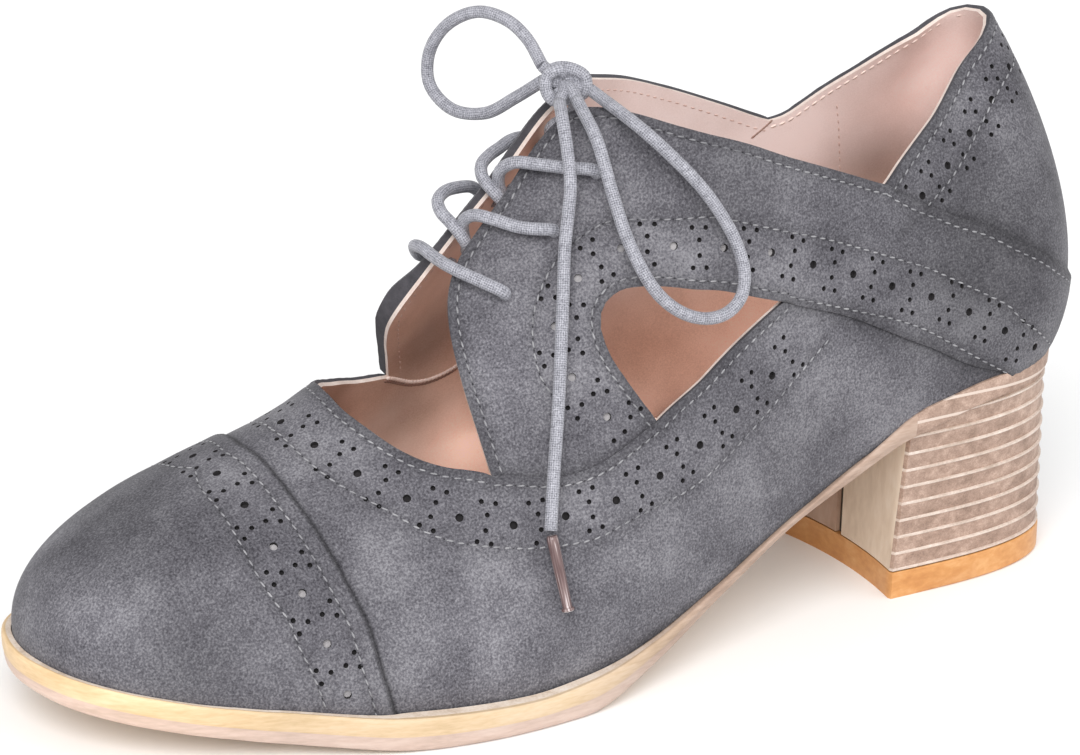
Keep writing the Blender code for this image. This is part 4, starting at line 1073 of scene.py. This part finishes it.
def shades(flat):  # painted shade on the nap: along folded edges and seams, at the cap's step and the feather edge, and painted shade and light in a few broad patches
    place = skinBase(flat)
    gaps = {
        "edge": nearest(edgePoints(*[n for n in pattern if n != "capEdge"]), place),
        "seam": nearest(seamPoints, place),
        "cap": nearest(edgePoints("capEdge"), place),
        "feather": place[:, 2] - featherAt(place[:, 0]),
    }
    dark = 0.0
    for name, gap in gaps.items():
        dark = dark + suedePaintedShading[name] * np.exp(-(gap / suedePaintedShading[name + "Reach"]) ** 2)
    return dark + patches(place, suedePaintedShading["patches"])


def eased(share):
    share = np.clip(share, 0.0, 1.0)
    return share * share * (3.0 - 2.0 * share)


def rearShare(flat):  # how far the lining has turned paler
    _, station, level = fromPlane(flat)
    back = eased((liningShade["from"] - station) / liningShade["run"])
    return back * eased((level - liningShade["low"]) / liningShade["rise"])


def lifts(flat):  # height of the leather over the last for base, cap and strap, at each flat point
    place = skinBase(flat)
    side, station, level = fromPlane(flat)
    openEdge = nearest(edgePoints(*topEdges, *cutEdges), place)
    capEdge = nearest(edgePoints("capEdge"), place)
    footEdge = nearest(edgePoints("panelFoot"), place)
    strapEdge = nearest(edgePoints("strapLow", "strapOver"), place)
    seam = nearest(seamPoints, place)
    depth, span = upperShape["roundDepth"], upperShape["roundReach"]
    groove = -upperShape["grooveDepth"] * np.exp(-(seam / upperShape["grooveReach"]) ** 2)
    common = groove - depth * fall(openEdge, span)
    share = eased(-station / upperShape["strapRun"])
    rolled = nearest(skinBase(patternLine(upperShape["rolledLine"], -1, 0.5)), place)  # the far panel's edge
    rolled = upperShape["rolled"] * np.exp(-(rolled / upperShape["rolledReach"]) ** 2)
    rise = np.clip((level - upperShape["farFrom"]) / upperShape["farRun"], 0.0, 1.0)
    sink = upperShape["panelSink"] - upperShape["farRise"] * (side < 0) * rise - rolled
    strap = (upperShape["strapStep"] + sink) * share - sink
    base = common - depth * upperShape["footShare"] * fall(footEdge, span)
    cap = common + upperShape["capStep"] - depth * fall(capEdge, upperShape["capReach"])
    strap = common + strap - depth * fall(strapEdge, span) * share
    return np.stack((base, cap, strap), axis=1)


suedeFace, liningFace, edgeFace, holeShadowFace, rimFace, floorFace = range(6)  # order of upperFinishes
turnRow = 3  # column of the heights where the turned suede ends


def buildUpper():
    flat, tris, regions, rings = layout(upperShape["gridX"], upperShape["gridY"], True)
    innerFlat, innerTris, _, _ = layout(upperShape["innerGrid"], upperShape["innerGrid"], False)
    # painted shade and light of the nap at each point
    dark = shades(flat)
    keyOf = [keyFor(p) for p in flat]
    ringKeys = {keyFor(p) for ring in rings for p in ring}
    eyeletKeys = {keyFor(p) for side in sides for e in eyelets for p in eyeletRing(side, e)}
    throatKeys = {keyFor(p) for side in sides for p in edges[side]["throat"]}
    turned = [upperShape["throatTurn" if key in throatKeys else "topTurn"] for key in keyOf]
    height = np.column_stack((lifts(flat), -np.array(turned)))
    base, normal = skinBase(flat), skinNormal(flat)
    level = fromPlane(flat)[2]
    verts, faces, finish, shade = [], [], [], {}
    stacks = [dict() for _ in flat]

    def seat(q, atRim):
        if atRim:
            q[2] = featherAt(q[0])
        return q

    def corner(i, region):
        stack = stacks[i]
        if region not in stack:
            shade[len(verts)] = dark[i]
            verts.append(seat(base[i] + normal[i] * height[i][region], level[i] < 1e-3))
            stack[region] = len(verts) - 1
        return stack[region]

    owner = {}
    for tri, region in zip(tris, regions):
        faces.append([corner(i, region) for i in tri])
        finish.append(suedeFace)
        for a, b in zip(tri, np.roll(tri, -1)):
            owner[(a, b)] = region
    inner, innerIds, rear = {}, [], {}
    innerPlace = skin(innerFlat, np.full(len(innerFlat), -upperShape["wall"]))
    innerLevel = fromPlane(innerFlat)[2]
    # patches of painted light and shade on the lining
    liningPaintedLight = patches(skinBase(innerFlat), liningShade["patches"])
    for p, q, lev, pale, tone in zip(innerFlat, innerPlace, innerLevel, rearShare(innerFlat), liningPaintedLight):
        shade[len(verts)], rear[len(verts)] = tone, pale
        verts.append(seat(q, lev < 1e-3))
        innerIds.append(len(verts) - 1)
        inner[keyFor(p)] = len(verts) - 1
    for tri in innerTris:
        faces.append([innerIds[i] for i in reversed(tri)])
        finish.append(liningFace)
    missed = 0
    for (a, b), region in owner.items():
        other = owner.get((b, a))
        if other == region or other is not None and a > b:
            continue
        if other is not None:  # the step from one layer down to the next
            faces.append([corner(b, region), corner(a, region), corner(a, other), corner(b, other)])
            finish.append(edgeFace)
        elif keyOf[a] in ringKeys and keyOf[b] in ringKeys:
            continue
        elif keyOf[a] in inner and keyOf[b] in inner:  # the turned edge, and the lining's own edge under it
            low, lowFace = [corner(b, region), corner(a, region)], edgeFace
            if keyOf[a] not in eyeletKeys and level[a] + level[b] > 1e-3:
                turn = [corner(a, turnRow), corner(b, turnRow)]
                faces.append(low + turn)
                finish.append(edgeFace)
                low, lowFace = turn[::-1], rimFace
            faces.append(low + [inner[keyOf[a]], inner[keyOf[b]]])
            finish.append(lowFace)
        else:
            missed += 1
    where = {key: i for i, key in enumerate(keyOf)}
    for ring, (centre, _, _, pale, _) in zip(rings, holes):  # each punched hole: a wall and a floor, painted dark as shadow unless the floor shows the pale backing
        ids = [where[keyFor(p)] for p in ring]
        region = int(regionOf(centre[None])[0])
        floor = []
        for i in ids:
            verts.append(base[i] + normal[i] * (height[i][region] - holeShape["depth"]))
            floor.append(len(verts) - 1)
        rim = [corner(i, region) for i in ids]
        for k in range(len(ids)):
            j = (k + 1) % len(ids)
            faces.append([rim[k], rim[j], floor[j], floor[k]])
            finish.append(holeShadowFace)
        faces.append(floor)
        finish.append(floorFace if pale else holeShadowFace)
    mesh = bpy.data.meshes.new("suedeUpper")
    mesh.from_pydata(toRow(np.array(verts)).tolist(), [], faces)
    mesh.polygons.foreach_set("material_index", finish)
    # shade holds painted shade and light; rear holds how far the lining has turned paler
    for name, values in (("shade", shade), ("rear", rear)):
        layer = mesh.attributes.new(name, "FLOAT", "POINT")
        layer.data.foreach_set("value", [values.get(i, 0.0) for i in range(len(verts))])
    bm = bmesh.new()
    bm.from_mesh(mesh)
    bmesh.ops.remove_doubles(bm, verts=bm.verts[:], dist=1e-7)
    ends = [edge for edge in bm.edges if edge.is_boundary]  # slits where a step runs out at an edge
    for face in bmesh.ops.holes_fill(bm, edges=ends, sides=4)["faces"]:
        face.material_index = edgeFace
    bmesh.ops.recalc_face_normals(bm, faces=bm.faces[:])
    openEdges = sum(1 for edge in bm.edges if not edge.is_manifold)
    bm.to_mesh(mesh)
    bm.free()
    mesh.polygons.foreach_set("use_smooth", [True] * len(mesh.polygons))
    mesh.set_sharp_from_angle(angle=math.radians(38.0))
    print("upper:", len(mesh.polygons), "faces,", openEdges, "open edges,", missed, "missed")
    return mesh


upperFinishes = [
    suedeFinish(),
    liningFinish("pinkLining", liningLook),
    plainFinish("cutSuedeEdge", ((0.034, 0.032, 0.038), (0.076, 0.072, 0.082)), 0.9),
    # painted shadow on the walls and dark floors of the punched holes
    plainFinish("holeShadow", ((0.010, 0.009, 0.010), (0.025, 0.022, 0.024)), 0.95),
    plainFinish("liningEdge", ((0.56, 0.44, 0.39), (0.78, 0.68, 0.62)), 0.6),
    plainFinish("holeBacking", ((0.34, 0.32, 0.33), (0.52, 0.50, 0.51)), 0.85),
]
upper = linkObject("suedeUpper", buildUpper(), upperFinishes)
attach(upper, "root")
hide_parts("upper")


def stitchRun(line, style, region=None):  # middle, axes and style of each stitch; no region means the lining
    spots = alongSkin(line, style["pitch"], style["first"])
    if len(spots) < 3:
        return []
    keep = fromPlane(spots)[2] > stitchLowest
    for loop in openings:
        keep &= ~insideLoop(loop, spots)
    normal = skinNormal(spots)
    if region is None:
        lift, out = np.full(len(spots), -upperShape["wall"] - style["rise"]), -normal
    else:
        keep &= regionOf(spots) == region
        lift, out = lifts(spots)[:, region] + style["rise"], normal
    place = skinBase(spots)
    ahead = np.gradient(place, axis=0)
    ahead -= normal * np.sum(ahead * normal, axis=1)[:, None]
    ahead /= np.linalg.norm(ahead, axis=1)[:, None]
    turn = math.radians(style["slant"])
    u = ahead * math.cos(turn) + np.cross(out, ahead) * math.sin(turn)
    axes = np.stack((u, np.cross(out, u), out), axis=1)
    return [(place[k] + normal[k] * lift[k], axes[k], style) for k in np.where(keep)[0]]


def stitchPlan():
    plan = []
    for line, region in seams:
        for style in ("thread", "needle"):
            plan += stitchRun(line, stitchStyles[style], region)
    for side in sides:
        for name, inset, style in liningEdges:
            plan += stitchRun(offsetLine(edges[side][name], inset * side), stitchStyles[style])
        plan += stitchRun(patternLine(liningSeam, side, 0.8), stitchStyles["inside"])
        plan += stitchRun(edges[side]["panelFoot"], stitchStyles["fold"])  # the fold at the panel's foot, its pale colour a painted highlight
        # painted shadow just below the fold
        plan += stitchRun(offsetLine(edges[side]["panelFoot"], -0.85 * side), stitchStyles["under"])
        # painted shade along the counter flap's edge
        plan += stitchRun(patternLine(liningFlap, side, 0.8), stitchStyles["flap"])
    return plan


def buildStitches():
    bead = bmesh.new()
    bmesh.ops.create_uvsphere(bead, u_segments=6, v_segments=4, radius=0.5)
    bead.verts.index_update()
    shape = np.array([v.co for v in bead.verts]) @ np.array(((0, 1, 0), (0, 0, 1), (1, 0, 0)), float)
    plan = [[v.index for v in f.verts] for f in bead.faces]
    bead.free()
    verts, faces, finish = [], [], []
    for centre, axes, style in stitchPlan():
        first = len(verts)
        verts += list(centre + (shape * np.array(style["size"])) @ axes)
        faces += [[first + i for i in f] for f in plan]
        finish += [style["finish"]] * len(plan)
    mesh = bpy.data.meshes.new("seamStitches")
    mesh.from_pydata(toRow(np.array(verts)).tolist(), [], faces)
    mesh.polygons.foreach_set("material_index", finish)
    bm = bmesh.new()
    bm.from_mesh(mesh)
    bmesh.ops.recalc_face_normals(bm, faces=bm.faces[:])
    bm.to_mesh(mesh)
    bm.free()
    mesh.polygons.foreach_set("use_smooth", [True] * len(mesh.polygons))
    print("stitches:", len(faces), "faces")
    return mesh


threadScales = (70.0, 500.0, 6000.0)
threads = [
    plainFinish("greyThread", ((0.13, 0.128, 0.14), (0.37, 0.365, 0.38)), 0.75, threadScales),
    plainFinish("needleHoleShade", ((0.02, 0.02, 0.024), (0.05, 0.048, 0.055)), 0.95, threadScales),
    plainFinish("roseThread", ((0.46, 0.30, 0.25), (0.66, 0.48, 0.42)), 0.7, threadScales),
    plainFinish("foldHighlightAndPaleThread", ((0.66, 0.50, 0.44), (0.84, 0.70, 0.63)), 0.6, threadScales),
    plainFinish("foldShade", ((0.20, 0.115, 0.09), (0.32, 0.20, 0.16)), 0.7, threadScales),
]
stitches = linkObject("seamStitches", buildStitches(), threads)
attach(stitches, "root")
print("upper made")

# Sole: plan outlines grown from the feather edge, stacked from the ground up
soleRows = (  # station, underside z and how far the edge stands out past the feather edge
    (-118.0, 45.3, 1.2), (-105.0, 44.2, 1.2), (-86.0, 42.0, 1.0), (-62.0, 36.2, 1.1), (-48.0, 30.4, 0.9),
    (-35.0, 25.2, 0.8), (-15.0, 15.2, 1.0), (5.0, 5.6, 2.2), (22.0, 0.0, 3.6), (52.0, 0.0, 4.2),
    (75.0, 2.2, 3.2), (100.0, 6.2, 2.8), (121.0, 10.0, 3.2),
)
underAt, ledgeAt = tableCurve(soleRows, 1), tableCurve(soleRows, 2)
lipRows = (  # station and how far the lip is raised
    (-118.0, 0.8), (-100.0, 1.2), (-86.0, 1.8), (-75.0, 3.0), (-67.0, 3.4), (-62.0, 2.6), (-56.0, 1.0),
    (-48.0, 0.0), (-20.0, 0.0), (10.0, 0.4), (30.0, 0.8), (55.0, 1.2), (82.0, 1.6), (121.0, 1.7),
)
lipAt = tableCurve(lipRows, 1)
tanBand, roseBand, seatBand, ledgeBand, bottomBand = range(5)  # order of soleFinishes
soleShape = {
    "gap": 0.3, "clear": 0.35, "lipWidth": 0.4, "lipLeast": 0.45, "lipFoot": 0.02,
    # share of the thickness, inset from the edge, share of the raised lip
    "roseSide": ((0.0, 1.5, 0.0), (0.04, 0.95, 0.0), (0.10, 0.60, 0.0), (0.30, 0.35, 0.0), (0.52, 0.25, 0.08)),
    "tanSide": (
        (0.55, 0.15, 0.12), (0.65, 0.02, 0.25), (0.80, -0.05, 0.6), (0.92, 0.0, 0.85), (0.97, 0.15, 0.95),
        (1.0, 0.4, 1.0),
    ),
    "capFrom": 59.0, "capRun": 4.0,
    "seatFrom": -64.0, "seatRun": (-68.0, -62.0), "seatInset": (0.2, 1.0),  # hardly any rounding on the seat
}
insoleShape = {
    "gap": 0.35, "thick": 2.5,
    # share of the thickness, and inset
    "side": ((0.0, 0.5), (0.3, 0.15), (0.8, 0.15), (0.93, 0.35), (1.0, 0.8)),
}
insoleLook = {
    "shade": (0.46, 0.30, 0.22), "mid": (0.60, 0.42, 0.33), "pale": (0.70, 0.52, 0.43),
    "rear": ((0.60, 0.42, 0.33), (0.70, 0.52, 0.43)),
}
treadBack = 22.0  # where the sole leaves the ground
soleStations = np.concatenate((
    np.linspace(heelBack, heelPole, 17)[:-1], np.linspace(heelPole, treadBack, 40)[:-1],
    np.linspace(treadBack, toePole, 28)[:-1], np.linspace(toePole, toeTip, 27)))


def outline(grow):
    ring = []
    for side, run in ((1, soleStations), (-1, soleStations[-2:0:-1])):
        origin, dx, dy, width = reach(np.full(len(run), float(side)), run)
        w = width + grow(origin + dx * width)
        ring.append(np.stack((origin + dx * w, dy * w), axis=1))
    return np.concatenate(ring)


def coverFaces(n):  # faces over a closed outline of 2n-2 points, side to side
    total = 2 * n - 2
    faces = []
    for i in range(n - 1):
        face = []
        for k in (i, i + 1, (total - i - 1) % total, (total - i) % total):
            if k not in face:
                face.append(k)
        faces.append(face)
    return faces


def stackMesh(name, loops, caps, bandFinish, lowFinish, highFinish, sharp=35.0):
    # Skins the loops one above the other and closes both ends
    bm = bmesh.new()
    rings = [[bm.verts.new(tuple(p)) for p in toRow(loop)] for loop in loops]
    n = len(rings[0])
    for k in range(len(rings) - 1):
        for i in range(n):
            j = (i + 1) % n
            face = bm.faces.new((rings[k][i], rings[k][j], rings[k + 1][j], rings[k + 1][i]))
            face.material_index = bandFinish(k, i)
    for ring, finish, turn in ((rings[0], lowFinish, -1), (rings[-1], highFinish, 1)):
        for plan in caps:
            face = bm.faces.new([ring[i] for i in plan[::turn]])
            face.material_index = finish
    bmesh.ops.remove_doubles(bm, verts=bm.verts[:], dist=1e-7)
    bmesh.ops.dissolve_degenerate(bm, edges=bm.edges[:], dist=1e-7)
    bmesh.ops.recalc_face_normals(bm, faces=bm.faces[:])
    mesh = bpy.data.meshes.new(name)
    bm.to_mesh(mesh)
    bm.free()
    mesh.polygons.foreach_set("use_smooth", [True] * len(mesh.polygons))
    mesh.set_sharp_from_angle(angle=math.radians(sharp))
    return mesh


def layered(name, shades, roughness, stretch, paintedLightZones=(), lines=None):
    # Pressed layers: streaks along the edge, with other tones in zones of painted light and shade or pale lines
    # at even heights
    mat, tree, bsdf = newFinish(name, roughness=roughness)
    spread = addNode(tree, "ShaderNodeMapping", {"Scale": stretch})
    tree.links.new(objectCoords(tree), spread.inputs["Vector"])
    patch, blotch, grain = addGrain(tree, 40.0, 160.0, 900.0, spread.outputs["Vector"])
    tone = weighted(tree, (patch, 0.4), (blotch, 0.35), (grain, 0.35))
    stops = [(0.40 + 0.3 * k / (len(shades) - 1), shade) for k, shade in enumerate(shades)]
    colour = addRamp(tree, tone, stops)
    for start, end, tones in paintedLightZones:
        share = addNode(tree, "ShaderNodeMapRange", {"From Min": start * mm, "From Max": end * mm})
        tree.links.new(axesOf(tree, "Object")["X"], share.inputs["Value"])
        other = addRamp(tree, tone, [(place, shade) for (place, _), shade in zip(stops, tones)])
        colour = addMix(tree, share.outputs["Result"], colour, other)
    if lines:
        level = addMath(tree, "SUBTRACT", axesOf(tree, "Object")["Z"], lines["base"] * mm)
        level = addMath(tree, "DIVIDE", level, lines["pitch"] * mm)
        onLine = addMath(tree, "LESS_THAN", addMath(tree, "FRACT", level, 0.0), lines["width"] / lines["pitch"])
        colour = addMix(tree, onLine, colour, lines["tone"])
    tree.links.new(colour, bsdf.inputs["Base Color"])
    addBump(tree, bsdf, addMath(tree, "ADD", grain, blotch), 0.25, 0.00015)
    return mat


# Painted shade and light along the sole, from and to in the row frame: darker tones for the shade under the
# waist, paler ones for light on the toe
waist = (24.0, -12.0, ((0.33, 0.225, 0.17), (0.41, 0.29, 0.225), (0.48, 0.36, 0.29)))
tanToeLight = (78.0, 104.0, ((0.67, 0.465, 0.25), (0.79, 0.57, 0.335), (0.87, 0.655, 0.43)))
roseToeLight = (78.0, 104.0, ((0.56, 0.41, 0.32), (0.68, 0.50, 0.41), (0.76, 0.59, 0.49)))
# The heel's layers, and the lines between them, which the seat carries on
stackTones = ((0.23, 0.15, 0.11), (0.36, 0.245, 0.19), (0.52, 0.375, 0.30))
stackLines = {"base": 6.1, "pitch": 3.75, "width": 0.6, "tone": (0.62, 0.51, 0.44)}
soleFinishes = [
    layered("tanEdge", ((0.52, 0.375, 0.215), (0.62, 0.46, 0.29), (0.68, 0.53, 0.37)), 0.5, (0.35, 0.35, 2.2),
            (waist, tanToeLight)),
    layered("roseEdge", ((0.46, 0.345, 0.28), (0.56, 0.425, 0.36), (0.63, 0.50, 0.43)), 0.5, (0.35, 0.35, 2.2),
            (waist, roseToeLight)),
    layered("seatEdge", stackTones, 0.6, (2.6, 2.6, 3.2), lines=stackLines),
    layered("paleLedge", ((0.60, 0.47, 0.36), (0.78, 0.65, 0.54), (0.88, 0.78, 0.69)), 0.55, (2.0, 2.0, 2.0),
            (waist,)),
    layered("soleBottom", ((0.56, 0.40, 0.27), (0.70, 0.53, 0.38), (0.76, 0.60, 0.46)), 0.55, (0.6, 0.6, 0.6)),
]


def addSole():
    loops = []
    for share, inset, lip in soleShape["roseSide"] + soleShape["tanSide"]:
        ease = lambda x: np.interp(x, soleShape["seatRun"], soleShape["seatInset"])
        ring = outline(lambda x: ledgeAt(x) - inset * ease(x))
        under, top = underAt(ring[:, 0]), featherAt(ring[:, 0]) - soleShape["gap"]
        loops.append(np.column_stack((ring, under + share * (top - under) + lip * lipAt(ring[:, 0]))))
    onCap = lambda x: np.clip((x - soleShape["capFrom"]) / soleShape["capRun"], 0.0, 1.0)
    wall = lambda x: soleShape["clear"] + upperShape["capStep"] * onCap(x)
    inner = lambda x: np.minimum(wall(x), ledgeAt(x) - soleShape["lipLeast"])
    for share in (0.25, 1.0):  # over the ledge to the lip's inner foot, close to the suede
        ring = outline(lambda x: (ledgeAt(x) - soleShape["lipWidth"]) * (1.0 - share) + inner(x) * share)
        top = featherAt(ring[:, 0]) - soleShape["gap"]
        loops.append(np.column_stack((ring, top + lipAt(ring[:, 0]))))
    loops.append(np.column_stack((ring, top - soleShape["lipFoot"])))
    bands = [roseBand] * len(soleShape["roseSide"]) + [tanBand] * len(soleShape["tanSide"]) + [ledgeBand] * 2
    band = lambda k, i: seatBand if loops[k][i, 0] < soleShape["seatFrom"] else bands[k]
    mesh = stackMesh("layeredSole", loops, coverFaces(len(soleStations)), band, bottomBand, ledgeBand)
    sole = linkObject("layeredSole", mesh, soleFinishes)
    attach(sole, "root")
    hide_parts("outsole")
    loops = []
    for share, inset in insoleShape["side"]:
        ring = outline(lambda x: -upperShape["wall"] - insoleShape["gap"] - inset + 0.0 * x)
        loops.append(np.column_stack((ring, featherAt(ring[:, 0]) + share * insoleShape["thick"])))
    mesh = stackMesh("sockLining", loops, coverFaces(len(soleStations)), lambda k, i: 0, 0, 0)
    sock = linkObject("sockLining", mesh, [liningFinish("sockLeather", insoleLook)])
    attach(sock, "root")
    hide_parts("insole")


addSole()
print("sole made")

# Heel: stacked layers with proud pale lines, a smooth hollow breast with a seam, and the top lift
heelRing = {
    "hollow": 2.6, "back": 64, "breast": 26, "breastShare": 0.985, "corner": 0.5, "cornerTurn": 0.15,
    "seamHalf": 1.05, "seamDepth": 0.9,
}
heelBlock = {
    # z, half width, breast, back, squareness of the outline
    "rows": (
        (0.0, 23.2, -62.6, -110.6, 2.7), (6.0, 23.4, -62.6, -110.6, 2.7), (46.0, 28.0, -63.4, -109.2, 2.5),
    ),
    "gap": 0.3, "top": 50.0, "seatInset": 0.2,
    "line": 0.5, "lineRound": 0.12, "proud": 0.42,  # the pale lines' height, rounding and how far they stand out
    "flat": 1.6, "swell": 0.6,  # a layer keeps its depth up to here, then swells to this share of it
}
liftTop = 5.8
liftSide = (  # z and inset of the top lift
    (0.0, 0.5), (0.15, 0.2), (0.5, -0.1), (liftTop - 0.5, -0.1), (liftTop - 0.2, -0.02), (liftTop, 0.2),
)
layerBand, lineBand, creamBand, seamBand, shadedBreast = range(5)  # order of heelFinishes


def heelOutline(z, inset, seam=True):
    zs, *columns = zip(*heelBlock["rows"])
    half, breast, back, square = [np.interp(z, zs, column) for column in columns]
    turn = np.pi * (np.linspace(0.0, 1.0, heelRing["back"]) - 0.5)
    c = np.clip(np.cos(turn), 0.0, None) ** (2.0 / square)
    s = np.sign(turn) * np.abs(np.sin(turn)) ** (2.0 / square)
    hold = np.clip((np.pi / 2 - np.abs(turn)) / heelRing["cornerTurn"], 0.0, 1.0)  # no inset at the corners
    hold = inset * hold
    corner = breast - heelRing["corner"]
    x = corner - (corner - back) * c + hold * c
    y = half * s - hold * s
    fy = 1.0 - 2.0 * (np.arange(heelRing["breast"]) + 0.3) / (heelRing["breast"] - 0.4)
    fy = half * heelRing["breastShare"] * fy
    if seam:
        w = heelRing["seamHalf"]
        fy = np.concatenate((fy[fy > 2 * w], (w, w * 0.9, -w * 0.9, -w), fy[fy < -2 * w]))
    fx = breast - heelRing["hollow"] * (1.0 - (fy / half) ** 2)
    if seam:
        fx = fx - heelRing["seamDepth"] * (np.abs(fy) < 0.95 * heelRing["seamHalf"])
    return np.column_stack((np.concatenate((x, fx)), np.concatenate((y, fy))))


heelFinishes = [
    layered("stackLayer", stackTones, 0.6, (2.6, 2.6, 3.2)),
    layered("stackLine", ((0.46, 0.36, 0.295), (0.62, 0.51, 0.44), (0.74, 0.65, 0.58)), 0.55, (1.6, 1.6, 2.0)),
    layered("creamBreast", ((0.58, 0.45, 0.34), (0.68, 0.55, 0.43), (0.75, 0.64, 0.53)), 0.45,
            (0.6, 0.6, 0.25)),
    layered("breastSeam", ((0.03, 0.02, 0.015), (0.05, 0.04, 0.03), (0.08, 0.06, 0.045)), 0.8, (1.0, 1.0, 1.0)),
    # the breast's far half: a darker copy of the cream, painted shade
    layered("shadedBreast", ((0.34, 0.21, 0.145), (0.42, 0.275, 0.20), (0.50, 0.35, 0.27)), 0.45,
            (0.6, 0.6, 0.25)),
]


def addHeel():
    line, edge, proud = heelBlock["line"], heelBlock["lineRound"], heelBlock["proud"]
    pitch = stackLines["pitch"]
    rungs, z = [], stackLines["base"]
    while z < heelBlock["top"]:
        rungs += [(z, 0.1, lineBand), (z + edge, 0.0, lineBand), (z + line, 0.0, lineBand)]
        rungs += [(z + line + edge, proud, layerBand), (z + heelBlock["flat"], proud, layerBand)]
        rungs.append((z + pitch - 0.1, heelBlock["swell"] * proud, layerBand))
        z += pitch
    seat = underAt(heelOutline(42.0, 0.0)[:, 0]) - heelBlock["gap"]
    loops = []
    for z, inset, _ in rungs:
        free = heelOutline(z, inset)
        cut = [heelOutline(h, heelBlock["seatInset"])[i] for i, h in enumerate(np.minimum(seat, z))]
        held = (z >= seat)[:, None]
        loops.append(np.column_stack((np.where(held, cut, free), np.minimum(seat, z))))
    n = len(loops[0])
    front = heelRing["back"]

    def band(k, i):
        if i < front or i == n - 1:
            return rungs[k][2]
        middle = (loops[0][i, 1] + loops[0][(i + 1) % n, 1]) / 2
        if abs(middle) < 0.6 * heelRing["seamHalf"]:
            return seamBand
        # the near half cream, the far half with painted shade
        return creamBand if middle > 0 else shadedBreast

    mesh = stackMesh("stackedHeel", loops, [list(range(n))], band, layerBand, layerBand, 30.0)
    heel = linkObject("stackedHeel", mesh, heelFinishes)
    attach(heel, "root")
    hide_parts("heel_stack")
    n = heelRing["back"] + heelRing["breast"]
    loops = [np.column_stack((heelOutline(z, inset, False), np.full(n, z))) for z, inset in liftSide]
    mesh = stackMesh("heelLift", loops, [list(range(n))], lambda k, i: 0, 0, 0, 40.0)
    lift = linkObject("heelLift", mesh, [layered(
        "amberLift", ((0.48, 0.20, 0.055), (0.58, 0.27, 0.085), (0.67, 0.36, 0.15)), 0.4, (0.5, 0.5, 1.0))])
    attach(lift, "root")
    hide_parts("top_lift")


addHeel()
print("heel made")

# Floor, lights and sky
studio = {
    "floor": (0.93, 0.93, 0.93), "sky": 0.62,
    # name, strength, spread in degrees and place
    "lights": (("keyLight", 2.7, 40.0, (0.6, 0.85, 0.8)), ("fillLight", 0.6, 60.0, (-0.7, 0.9, 0.6))),
}


def addStudio():
    bm = bmesh.new()
    bmesh.ops.create_grid(bm, x_segments=1, y_segments=1, size=4.0)
    mesh = bpy.data.meshes.new("studioFloor")
    bm.to_mesh(mesh)
    bm.free()
    mat, _, bsdf = newFinish("paleFloor", roughness=0.9, specular=0.1)
    bsdf.inputs["Base Color"].default_value = (*studio["floor"], 1.0)
    linkObject("studioFloor", mesh, [mat])
    world = bpy.data.worlds.new("studioSky")
    world.use_nodes = True
    world.node_tree.nodes["Background"].inputs["Color"].default_value = (1.0, 1.0, 1.0, 1.0)
    world.node_tree.nodes["Background"].inputs["Strength"].default_value = studio["sky"]
    bpy.context.scene.world = world
    bpy.context.scene.view_settings.view_transform = "Standard"
    for name, power, spread, place in studio["lights"]:
        data = bpy.data.lights.new(name, "SUN")
        data.energy = power
        data.angle = math.radians(spread)
        lamp = bpy.data.objects.new(name, data)
        bpy.context.scene.collection.objects.link(lamp)
        lamp.location = place
        lamp.rotation_mode = "QUATERNION"
        lamp.rotation_quaternion = (-Vector(place)).to_track_quat("-Z", "Y")


addStudio()
print("scene ready")
